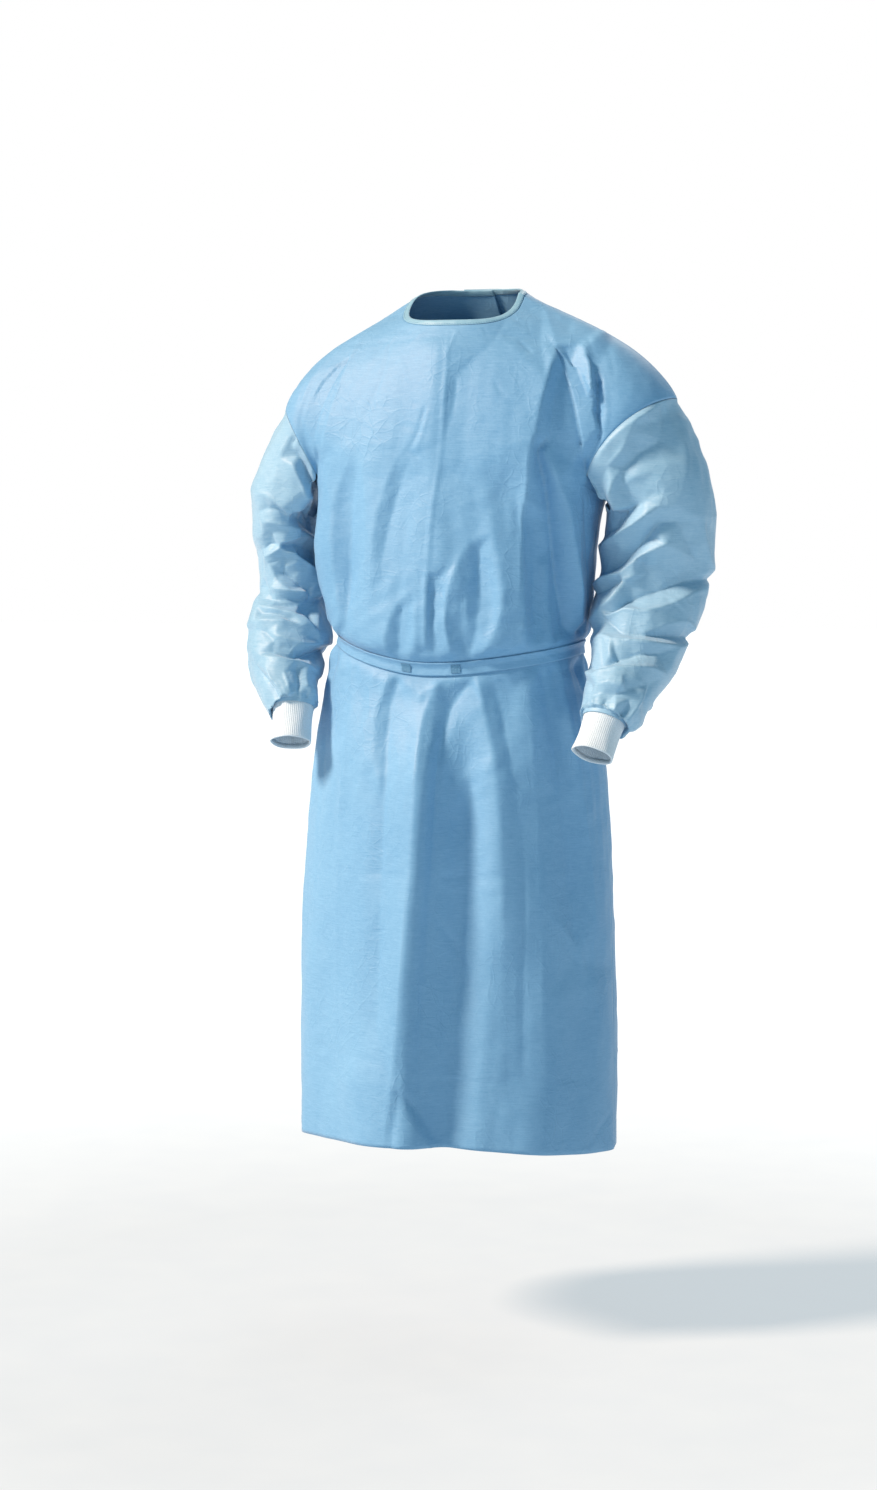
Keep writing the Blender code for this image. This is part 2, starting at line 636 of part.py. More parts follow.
def belt_knot(finish, home):
    """The knot on the belt at the centre back."""
    grid, normals = belt_grid(np.array([BACK - KNOT_TURNS, BACK, BACK + KNOT_TURNS]))
    middle = 0.5 * (grid[0, 1] + grid[1, 1])
    bpy.ops.mesh.primitive_cube_add(size=1.0)
    knot = bpy.context.object
    knot.name = "belt_knot"
    knot.data.transform(Matrix.Diagonal((*KNOT_SIZE, 1.0)))
    out = BELT_WALL / 2 + SEAM_GAP + KNOT_SIZE[1] / 2
    knot.location = middle + np.array([0.0, out + SEAM_GAP, 0.0])
    knot.data.materials.append(finish)
    rounded = knot.modifiers.new("rounded", "BEVEL")
    rounded.width = KNOT_ROUND
    rounded.segments = 2
    knot.users_collection[0].objects.unlink(knot)
    home.objects.link(knot)
    return middle


def belt_end(row, finish, home, middle):
    """One hanging end of the belt, from just under the knot down over the back."""
    side, top_x, end_x, length = row
    top = KNOT_SIZE[2] / 2 + TIE_DROP
    points, normals = [], []
    for part in np.linspace(0.0, 1.0, TIE_ROWS + 1):
        drop = top + part * length
        centre = top_x + (end_x - top_x) * part
        beyond = abs(height_round(HEM_Z, BACK) - middle[2])
        level = 1.0 + drop / beyond
        reach = body_points(np.array([BACK]), level)[0, 1]
        width = BELT_WIDTH * (TIE_TOP + (1.0 - TIE_TOP) * ramp(part, 0.0, TIE_TAPER))
        edges = centre + np.array([-0.5, 0.0, 0.5]) * width
        turns = BACK - np.degrees(np.arctan2(edges, reach))
        lift = TIE_LIFT * (2.0 - ramp(part, 0.0, TIE_SETTLE))
        rows = [(level - LEVEL_STEP,), (level,), (level + LEVEL_STEP,)]
        near, near_normals = shaped(body_points, rows, turns, lift, over_the_lap)
        points.extend(near[1])
        normals.extend(near_normals[1])
    return wall_object(f"belt_end_{side}", points, normals, grid_faces(TIE_ROWS + 1, 3),
                       TIE_WALL, finish, home)


def main():
    for old in list(bpy.data.objects):
        bpy.data.objects.remove(old, do_unlink=True)
    home = bpy.data.collections.new("chemotherapy_gown")
    bpy.context.scene.collection.children.link(home)
    cloth = material("blue nonwoven", CLOTH, 0.75)
    sleeve_cloth = material("sleeve nonwoven", SLEEVE_CLOTH, 0.72)
    knit = material("white knit", KNIT, 0.9)
    edging = material("neck edging", EDGING, 0.7)
    panel("front", columns("front"), ("first", "last"), cloth, home)
    panel("back_left", columns("left", BACK_LAP), ("first",), cloth, home)
    panel("back_right", columns("right", BACK_LAP), ("first",), cloth, home)
    for side in ("left", "right"):
        sleeve(side, sleeve_cloth, home)
        cuff(side, knit, home)
    neck_binding(edging, home)
    belt(cloth, home)
    middle = belt_knot(cloth, home)
    for side in ("left", "right"):
        belt_tab(side, cloth, home)
    for row in TIES:
        belt_end(row, cloth, home, middle)


main()
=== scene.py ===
"""The gown's looks: fine cloth on the frame, knit cuffs, trim and stitching, floor, lights and camera."""
import math

import bpy
import numpy as np
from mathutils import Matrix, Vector
from mathutils.bvhtree import BVHTree
from mathutils.geometry import delaunay_2d_cdt


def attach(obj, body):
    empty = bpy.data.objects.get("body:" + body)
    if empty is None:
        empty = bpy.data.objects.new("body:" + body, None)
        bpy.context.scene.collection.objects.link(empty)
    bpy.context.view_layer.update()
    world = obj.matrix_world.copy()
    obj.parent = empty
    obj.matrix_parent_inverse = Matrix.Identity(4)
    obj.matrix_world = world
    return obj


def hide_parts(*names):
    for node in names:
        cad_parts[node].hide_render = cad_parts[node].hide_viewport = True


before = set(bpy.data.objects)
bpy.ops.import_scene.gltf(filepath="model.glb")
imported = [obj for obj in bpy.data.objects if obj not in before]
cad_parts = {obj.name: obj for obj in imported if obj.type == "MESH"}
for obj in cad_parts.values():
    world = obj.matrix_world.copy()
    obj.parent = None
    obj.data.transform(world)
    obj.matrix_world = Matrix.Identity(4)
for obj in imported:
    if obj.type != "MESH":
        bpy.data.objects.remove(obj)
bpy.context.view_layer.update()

# Camera, as the photograph was taken. Its pixels are counted from the top left.
PHOTO_WIDTH = 877
PHOTO_HEIGHT = 1490
LENS_MM = 75.0
SENSOR_MM = 36.0
CAMERA_AZIMUTH = 15.0
CAMERA_DISTANCE = 4.5
CAMERA_HEIGHT = -0.33
CAMERA_PITCH = -4.07
AXIS_PIXEL = 467.0
FLOOR_Z = -1.50

# Cloth, seams and trim
CLOTH_THICKNESS = 0.0006
SEAM_GAP = 0.0003
BINDING_HEIGHT = 0.008
LAP = 0.0017
LAP_START = 150.0
LAP_FULL = 162.0
BELT_WIDTH = 0.020
BELT_WALL = 0.0012
BELT_LIFT = 0.0021
TAB_WALL = 0.0008
TAB_HEIGHT = 0.013
TAB_TURNS = {"right": (-17.5, -12.1), "left": (12.3, 17.7)}
KNOT_SIZE = (0.030, 0.011, 0.024)
TIE_ROWS = 90
TIE_TOP = 0.6
TIE_DROP = 0.0016
TIE_LIFT = 0.0030
TIE_TAPER = 0.30
TIE_SETTLE = 0.25
# Columns: side, top_x, end_x, length
TIES = [
    ("right", -0.0070, -0.016, 0.235),
    ("left", 0.0070, 0.030, 0.265),
]
CUFF_WALL = 0.0018
CUFF_LENGTH = 0.062
CUFF_TUCK = 0.009
CUFF_WAIST = 0.0015

# How the sheets are divided: columns run round the body, rows run down it
ARM_FRONT = 72.0
ARM_BACK = 108.0
SIDE = 90.0
BACK = 180.0
BACK_LAP = 16.0
FRONT_STEPS = 54
ARM_STEPS = 38
BACK_STEPS = 42
LAP_STEPS = 10
YOKE_ROWS = 62
CHEST_ROWS = 56
BELT_ROWS = 6
# Levels of the last row above the belt and the first one below it
BELT_LEVELS = (0.935, 1.019)
SKIRT_ROWS = 132
SLEEVE_ROWS = 220

# Body levels: 0 is the armpit, 1 the belt, 2 the hem
ARMPIT_Z = -0.262
UNDERARM_DIP = 0.014
BELT_Z = {"front": -0.534, "left": -0.506, "right": -0.484, "back": -0.502}
HEM_Z = {"front": -1.204, "left": -1.230, "right": -1.214, "back": -1.212}
HEIGHT_CURVE = 1.5
ROW_GROWTH = 1.15
LEVEL_STEP = 0.01

# Sections of the body below the arms. shift is the x of the centre line, right and left are the
# half widths on the wearer's right (-X) and left (+X), power squares the corners.
# Columns: level, shift, right, left, front, back, power
SECTIONS = [
    (0.00, -0.012, 0.207, 0.219, 0.136, 0.138, 2.5),
    (0.18, -0.014, 0.203, 0.209, 0.141, 0.138, 2.5),
    (0.40, -0.016, 0.205, 0.203, 0.146, 0.136, 2.5),
    (0.75, -0.018, 0.190, 0.200, 0.150, 0.132, 2.4),
    (0.92, -0.018, 0.176, 0.193, 0.147, 0.128, 2.4),
    (1.00, -0.016, 0.168, 0.184, 0.136, 0.121, 2.4),
    (1.05, -0.016, 0.180, 0.190, 0.140, 0.127, 2.3),
    (1.17, -0.017, 0.198, 0.213, 0.150, 0.140, 2.2),
    (1.45, -0.024, 0.214, 0.236, 0.168, 0.165, 2.2),
    (1.75, -0.034, 0.209, 0.253, 0.182, 0.183, 2.2),
    (2.00, -0.042, 0.200, 0.262, 0.190, 0.192, 2.2),
]

# Neck edge: the top of the binding. Columns: side, half_width, side_z
NECK = [
    ("right", 0.079, -0.014),
    ("left", 0.079, 0.000),
]
NECK_CENTRE_X = -0.003
NECK_FRONT = 0.074
NECK_BACK = 0.078
NECK_FRONT_Z = -0.041
NECK_BACK_Z = 0.012
NECK_POWER = 2.3
NECK_SLOPE = {"side": (0.913, -0.407), "front": (0.50, -0.87), "back": (0.45, -0.89)}

# Outermost point of each armhole seam, on top of the dropped shoulder, and how the cloth falls there.
# Columns: side, x, y, z, out, down
SHOULDERS = [
    ("right", -0.274, 0.012, -0.160, -0.42, -0.91),
    ("left", 0.307, 0.006, -0.152, 0.47, -0.88),
]
# The armhole seam's pull at its ends, and its directions out, forward and up at the armpit
ARCH_REACH = 0.25
ARCH_LEAVES = (0.35, 0.40, 0.85)
ARCH_TOP_LEAN = 0.15

# Sleeve stations from the armhole to the cuff. across and deep are the half sizes of the oval.
# Columns: along, x, y, z, across, deep
SLEEVES = {
    "right": [
        (0.00, -0.245, 0.010, -0.218, 0.076, 0.084),
        (0.16, -0.277, 0.024, -0.286, 0.053, 0.086),
        (0.32, -0.281, 0.038, -0.345, 0.051, 0.083),
        (0.46, -0.276, 0.040, -0.395, 0.052, 0.076),
        (0.58, -0.268, 0.026, -0.440, 0.052, 0.068),
        (0.72, -0.269, -0.008, -0.490, 0.058, 0.062),
        (0.85, -0.262, -0.052, -0.541, 0.050, 0.052),
        (0.94, -0.248, -0.079, -0.573, 0.040, 0.043),
        (1.00, -0.234, -0.095, -0.594, 0.035, 0.035),
    ],
    "left": [
        (0.00, 0.262, 0.004, -0.205, 0.080, 0.086),
        (0.16, 0.278, 0.014, -0.280, 0.078, 0.084),
        (0.32, 0.275, 0.026, -0.345, 0.079, 0.081),
        (0.46, 0.267, 0.024, -0.402, 0.076, 0.075),
        (0.60, 0.258, 0.000, -0.460, 0.074, 0.068),
        (0.73, 0.257, -0.036, -0.508, 0.062, 0.060),
        (0.85, 0.248, -0.080, -0.551, 0.053, 0.052),
        (0.94, 0.241, -0.113, -0.583, 0.047, 0.045),
        (1.00, 0.233, -0.133, -0.604, 0.038, 0.036),
    ],
}
SLEEVE_SEAM_ANGLE = 125.0
SLEEVE_SEAM_FADE = 0.26
SLEEVE_EVEN_BY = 0.5
SLEEVE_NARROWS = 0.35
UNDERARM_SEAM = 0.0021
CUFF_AXIS = {"right": (0.06, -0.42, -0.905), "left": (-0.20, -0.50, -0.84)}
CUFF_ACROSS = 0.029
CUFF_DEEP = 0.026

# Main folds. Each runs from x0, z0 down to x1, z1 over the front or back. minus_side and plus_side
# are its widths toward -X and +X, lift is outward, sharp is 1 for a pressed edge and fade is the
# part of its length over which it rises.
FOLD_COLUMNS = ("face", "x0", "z0", "x1", "z1", "minus_side", "plus_side", "lift", "sharp", "fade")
FOLDS = [
    ("front", -0.008, -0.560, -0.040, -1.230, 0.150, 0.060, 0.030, 0.8, 0.22),
    ("front", 0.035, -0.600, 0.022, -1.230, 0.045, 0.050, -0.010, 0.2, 0.20),
    ("front", 0.072, -0.560, 0.100, -0.980, 0.045, 0.060, 0.012, 0.2, 0.30),
    ("front", -0.150, -0.620, -0.160, -1.230, 0.060, 0.060, -0.010, 0.1, 0.30),
    ("front", 0.185, -0.700, 0.200, -1.230, 0.050, 0.050, -0.008, 0.1, 0.30),
    ("front", 0.090, -0.230, 0.150, -0.500, 0.045, 0.055, -0.012, 0.2, 0.30),
    ("front", -0.150, -0.220, -0.150, -0.470, 0.040, 0.050, -0.011, 0.2, 0.30),
    ("front", 0.030, -0.370, 0.050, -0.515, 0.035, 0.035, 0.010, 0.2, 0.35),
    ("front", -0.014, -0.050, -0.018, -0.515, 0.050, 0.050, 0.006, 0.5, 0.10),
    ("back", -0.060, -0.560, -0.080, -1.230, 0.070, 0.060, 0.016, 0.2, 0.25),
    ("back", 0.070, -0.560, 0.100, -1.230, 0.060, 0.070, 0.018, 0.2, 0.25),
    ("back", 0.000, -0.120, 0.010, -0.480, 0.070, 0.070, -0.010, 0.1, 0.30),
]
# A fold has its whole lift where the cloth faces -Y or +Y by at least this much
FOLD_FACING = 0.6

# Creases and waves
LINE_STEPS = 9
PIXEL_MM = 1.42
CREASE_LEAN = (1.0, 0.6, 0.9)
SMALL_LENGTH = (0.014, 0.060)
SMALL_WIDTH = (0.0025, 0.0075)
SMALL_LIFT = (0.0002, 0.0010)
SMALL_COUNT = {"front": 190, "back": 190, "sleeve": 110, "belt": 40}
WAVE_LENGTHS = (0.045, 0.060, 0.075, 0.095, 0.120, 0.150)
WAVE_LEAN = (1.0, 1.0, 0.6)
WAVE_HEIGHT = 0.0002
GATHER_LEAN = 30.0
CREASE_SHARPEN = 0.10
# Taut cloth over the hollow between the chest and each shoulder: how much of it is spanned, the
# heights, their step, what is left of the hollow, the furthest move and the hold at the seams
SPAN_SHARE = 0.90
SPAN_HEIGHTS = (-0.27, -0.02)
SPAN_STEP = 0.005
SPAN_SLACK = 0.002
SPAN_MOST = 0.034
SPAN_HOLD = 0.022
SPAN_MIDDLE = (0.05, 0.09)
SPAN_RISE = (-0.27, -0.22)
SPAN_OUT = (0.0, 0.03)
BACK_GAIN = 1.7
CREASE_POINT = 1.2
# Fold nets: where they stop showing, their gain, the rounding of their folds, the part round them
FOLD_GAIN = {"front": 1.6, "sleeve": 1.5}
SHOWN_PART = {"front": (0.0, 0.30), "sleeve": (-0.35, 0.0)}
NET_ROUND = 0.9
NET_ROUNDING = ((0.0, 0.0), (1.0, 0.0), (-1.0, 0.0), (0.0, 1.0), (0.0, -1.0))
NET_RIM = 5
# Fine lines pressed along the folds: half width in pixels or millimetres, and lift
FOLD_LINE = {"front": (2.6, 0.0007), "sleeve": (2.8, 0.0013)}
NET_TOP = 100.0
NET_JOIN = 0.00001
# Facets: how many sets of flat facets cross each other, their size, the lift of their edges, how
# far they bend, and which way they run on each kind of piece
FACET_SETS = 4
FACET_BEND = 0.22
FACETS = {
    "body": (0.105, 0.0010, (1.3, 1.0, 0.45)),
    "sleeve": (0.074, 0.0007, (0.7, 0.7, 1.2)),
    "fine": (0.032, 0.0006, (1.0, 1.0, 1.0)),
}
# How strong the facets are at each height of the body. Columns: z, strength
FACET_STRENGTH = [
    (-1.20, 0.30), (-0.90, 0.30), (-0.72, 0.75), (-0.56, 1.0), (-0.42, 1.0), (-0.30, 0.55),
    (-0.12, 0.25), (0.02, 0.15),
]
BELT_BULGE = 0.0012
BELT_BULGE_START = 0.009
BELT_BULGE_REACH = 0.045
SEAM_DEPTH = 0.0005
SEAM_REACH = 0.0022
HOLD_SEAM = 0.014
HOLD_SLEEVE_SEAM = 0.007
HOLD_BELT = 0.018
LAP_EASE = 12.0
HEM_WAVE = 0.0016
HEM_WAVE_RISE = 0.10
HEM_WAVES = 17.0
SEEDS = {"front": 11, "back_left": 12, "back_right": 13, "sleeve_left": 14, "sleeve_right": 15,
         "waves": 21, "facets": 24, "fine": 25, "binding": 22, "belt": 23}

# Sleeve ends and knit cuffs
SLEEVE_SPARE = 0.0012
CLOSING_ROWS = 6
SLEEVE_RADIUS = 0.068
SLEEVE_LENGTH = 0.43
TUCK_REACH = 0.045
RIBS = 64
RIB_POINTS = 6
RIB_HEIGHT = 0.0005
RIB_ROUND = 0.7
CUFF_ROWS = 50
CUFF_SWAY = 0.0006
# Waves of the sway round the cuff, and how it turns along it in radians per metre
CUFF_SWAYS = 5
CUFF_SWAY_TURN = 90.0
# Twist and lean of the ribs in degrees, and how the twist changes along the cuff in radians per metre
CUFF_TWIST = 1.2
CUFF_TWIST_TURN = 80.0
CUFF_LEAN = 2.0
KNIT_THICKNESS = 0.0010
# The turned lower edge of a cuff, ring by ring: inward from the last ring, and on along its axis
CUFF_TURNED = ((0.0005, 0.0004), (0.0012, 0.0003), (0.0015, -0.0008), (0.0015, -0.0060))

# Neck binding: the section of a strip folded over the edge, open below, as places down from the top
# edge and out from the cloth, in millimetres
BINDING_SECTION = [
    (9.4, 1.00), (8.4, 1.25), (5.0, 1.30), (2.0, 1.20), (0.7, 0.80), (0.1, 0.00), (0.7, -0.80),
    (2.0, -1.20), (5.0, -1.30), (8.4, -1.20), (9.4, -0.95), (9.4, -0.50), (0.9, -0.45), (0.9, 0.45),
    (9.4, 0.50),
]
PUCKER = 0.16
STITCH_DROP = 0.0074
STITCH_OUT = 0.0014
STITCH_LENGTH = 0.0024
STITCH_SPACE = 0.0014
STITCH_RADIUS = 0.00028

# Belt, its tabs, its knot and its ends
STRAP_ROWS = 11
STRAP_THICKNESS = 0.0009
# Lines pressed along a strap. Columns: place and width as parts of the strap's width, lift_mm
STRAP_LINES = [(0.5, 0.03, -0.25), (0.12, 0.05, 0.12), (0.88, 0.05, 0.12)]
TAB_POINTS = 37
TAB_PITS = 6
TAB_PIT_DEPTH = 0.0004
TIE_CURL = 0.0016
TIE_RIPPLE = 0.0008
TIE_TWIST = 0.0030
# Each wrap of the knot in millimetres: its tilt in degrees, half length, half depth, half width, swell
KNOT_TURNS_MM = [
    (90, 13.0, 4.0, 6.5, 1.6),
    (28, 10.5, 4.6, 6.0, 1.1),
    (-34, 10.0, 3.4, 6.5, 1.3),
]

# Studio
FLOOR_SIZE = 60.0
# Painted light that the floor glows with near the gown, dimmer there as painted shade, and far away, and the
# distances of both in metres
FLOOR_PAINTED_LIGHT = (0.55, 0.88)
FLOOR_PAINTED_LIGHT_REACH = (0.8, 3.0)
WORLD_SEEN = 1.0
WORLD_COLOUR = (0.50, 0.85, 1.0, 1.0)
WORLD_LIGHT = 0.31
KEY_FROM = (-0.98, -0.66, 0.95)
KEY_STRENGTH = 5.9
KEY_ANGLE = 12.0
KEY_COLOUR = (1.0, 0.73, 0.55)
# Columns: name, place, size in metres, power in watts
LIGHTS = [
    ("fill", (3.0, -3.0, 0.4), 2.5, 9.0),
    ("rear", (0.8, 3.0, 1.8), 2.0, 30.0),
]

# Creases placed on the photograph. Each line of points runs over its pixels. left_mm is the width
# on the left of a line that runs down, or below one that runs right, and right_mm the other one.
# lift_mm is outward, sharp is 1 for a pressed edge, fade is the part of the length at both ends.
CREASE_COLUMNS = ("piece", "left_mm", "right_mm", "lift_mm", "sharp", "fade", "points")
CREASES = [
    # Chest
    ("front", 5, 5, 1.2, 0.8, 0.10, [(448, 327), (446, 376), (443, 412), (441, 450), (431, 523),
                                     (428, 574), (427, 645)]),
    ("front", 4, 4, -1.8, 0.9, 0.2, [(426, 402), (422, 420), (416, 437), (408, 450), (400, 456)]),
    ("front", 4, 4, 1.4, 0.9, 0.2, [(430, 406), (425, 424), (420, 440), (414, 456)]),
    ("front", 4, 4, -1.4, 0.9, 0.2, [(408, 450), (416, 455), (420, 458)]),
    ("front", 4, 4, 1.2, 0.9, 0.2, [(404, 478), (392, 491), (381, 507)]),
    ("front", 4, 4, 1.0, 0.9, 0.2, [(335, 505), (345, 498), (356, 495)]),
    ("front", 4, 4, 1.0, 0.9, 0.2, [(332, 528), (344, 523), (354, 520)]),
    ("front", 4, 4, -1.2, 0.8, 0.3, [(509, 318), (500, 330), (492, 342)]),
    ("front", 5, 5, -1.4, 0.7, 0.3, [(516, 340), (524, 347), (534, 358)]),
    ("front", 4, 4, -1.2, 0.8, 0.3, [(494, 378), (499, 392), (512, 402)]),
    ("front", 4, 4, -1.2, 0.8, 0.3, [(585, 334), (592, 352), (599, 366)]),
    ("front", 4, 4, -1.2, 0.8, 0.3, [(607, 346), (612, 364), (614, 384)]),
    ("front", 4, 4, -1.0, 0.8, 0.3, [(472, 500), (480, 512), (490, 520)]),
    ("front", 4, 4, 1.0, 0.8, 0.3, [(480, 492), (490, 500), (500, 506)]),
    ("front", 4, 4, -1.0, 0.8, 0.3, [(421, 560), (421, 590), (419, 625)]),
    ("front", 4, 4, 1.0, 0.8, 0.3, [(417, 600), (416, 630), (417, 655)]),
    ("front", 4, 4, -1.0, 0.8, 0.3, [(386, 650), (402, 655), (424, 657)]),
    ("front", 4, 4, 1.4, 0.9, 0.2, [(453, 674), (440, 682), (424, 694), (418, 704)]),
    ("front", 4, 4, -1.4, 0.9, 0.2, [(456, 678), (443, 687), (430, 698), (424, 710)]),
    ("front", 4, 4, -1.2, 0.8, 0.3, [(360, 636), (385, 650), (410, 657)]),
    # Creases left by packing
    ("front", 5, 5, -1.3, 0.9, 0.12, [(320, 868), (370, 874), (413, 877)]),
    ("front", 4, 4, -1.2, 0.9, 0.12, [(440, 876), (480, 878), (522, 877)]),
    ("front", 4, 4, 1.0, 0.9, 0.12, [(440, 887), (480, 888), (522, 886)]),
    ("front", 5, 5, -1.3, 0.9, 0.12, [(522, 840), (523, 960), (523, 1090)]),
    ("front", 5, 5, -1.2, 0.9, 0.12, [(403, 1081), (460, 1083), (530, 1080), (600, 1076)]),
    ("front", 5, 5, -1.2, 0.9, 0.15, [(306, 1040), (347, 1055), (395, 1066)]),
    ("front", 4, 4, 1.0, 0.9, 0.12, [(530, 877), (570, 874), (612, 868)]),
    ("front", 6, 6, -1.6, 0.6, 0.2, [(405, 1112), (420, 1130), (437, 1156)]),
    ("front", 6, 6, -1.8, 0.6, 0.2, [(583, 1150), (598, 1130), (613, 1108)]),
    ("front", 8, 8, -1.8, 0.5, 0.3, [(430, 905), (462, 960), (470, 1010)]),
    ("front", 8, 8, 1.6, 0.5, 0.3, [(540, 905), (572, 940), (590, 985)]),
]

# Creases on the back, which the photograph doesn't show: width on each side and lift in
# millimetres, sharpness, fade, and points x and z in metres.
BACK_CREASES = [
    (16, 18, -5.0, 0.25, 0.25, [(-0.135, -0.150), (-0.115, -0.260), (-0.110, -0.370)]),
    (14, 14, 4.0, 0.30, 0.25, [(-0.160, -0.190), (-0.145, -0.300), (-0.150, -0.420)]),
    (18, 16, -5.0, 0.25, 0.25, [(0.128, -0.140), (0.118, -0.240), (0.105, -0.380)]),
    (14, 14, 4.0, 0.30, 0.25, [(0.152, -0.180), (0.150, -0.290), (0.140, -0.410)]),
    (12, 12, -4.0, 0.35, 0.20, [(-0.060, -0.330), (-0.085, -0.420), (-0.082, -0.490)]),
    (12, 12, 4.0, 0.35, 0.20, [(-0.088, -0.340), (-0.112, -0.420), (-0.108, -0.492)]),
    (12, 12, -5.0, 0.40, 0.20, [(0.060, -0.350), (0.078, -0.430), (0.072, -0.493)]),
    (12, 12, 4.5, 0.35, 0.20, [(0.094, -0.360), (0.108, -0.430), (0.104, -0.493)]),
    (9, 9, -3.2, 0.45, 0.20, [(0.020, -0.400), (0.026, -0.450), (0.022, -0.492)]),
    (9, 9, -3.0, 0.45, 0.20, [(-0.030, -0.390), (-0.034, -0.445), (-0.036, -0.492)]),
    (10, 10, -3.0, 0.45, 0.25, [(-0.040, -0.110), (-0.085, -0.150), (-0.140, -0.170)]),
    (10, 10, -3.0, 0.45, 0.25, [(0.045, -0.100), (0.095, -0.135), (0.150, -0.165)]),
    (14, 16, -6.0, 0.30, 0.15, [(-0.022, -0.515), (-0.020, -0.620), (-0.006, -0.800), (0.000, -1.000)]),
    (16, 16, 5.0, 0.30, 0.15, [(0.028, -0.515), (0.034, -0.640), (0.046, -0.840)]),
    (13, 13, -5.0, 0.35, 0.15, [(0.066, -0.515), (0.078, -0.620), (0.096, -0.760)]),
    (12, 12, -4.5, 0.35, 0.15, [(-0.072, -0.512), (-0.088, -0.610), (-0.104, -0.740)]),
    (14, 14, 4.5, 0.30, 0.15, [(-0.110, -0.512), (-0.128, -0.630), (-0.140, -0.800)]),
    (14, 14, 4.0, 0.30, 0.15, [(0.118, -0.515), (0.136, -0.630), (0.158, -0.790)]),
    (24, 24, -5.0, 0.20, 0.20, [(-0.110, -0.860), (-0.118, -1.040), (-0.126, -1.260)]),
    (24, 24, 5.0, 0.20, 0.20, [(-0.040, -0.900), (-0.042, -1.060), (-0.050, -1.260)]),
    (24, 22, -6.0, 0.20, 0.20, [(0.040, -0.880), (0.050, -1.060), (0.056, -1.260)]),
    (22, 24, 5.0, 0.20, 0.20, [(0.150, -0.860), (0.166, -1.040), (0.176, -1.260)]),
    (5, 5, -1.3, 0.90, 0.10, [(-0.190, -0.760), (0.000, -0.764), (0.200, -0.758)]),
    (5, 5, -1.2, 0.90, 0.10, [(-0.200, -0.990), (0.000, -0.994), (0.210, -0.988)]),
    (5, 5, 1.2, 0.90, 0.10, [(-0.120, -0.700), (-0.124, -0.900), (-0.128, -1.180)]),
    (5, 5, -1.2, 0.90, 0.10, [(0.110, -0.690), (0.116, -0.900), (0.122, -1.180)]),
    (8, 8, -2.0, 0.50, 0.30, [(-0.060, -0.230), (-0.020, -0.270), (-0.004, -0.320)]),
    (8, 8, -2.0, 0.50, 0.30, [(0.090, -0.260), (0.050, -0.300), (0.034, -0.350)]),
]
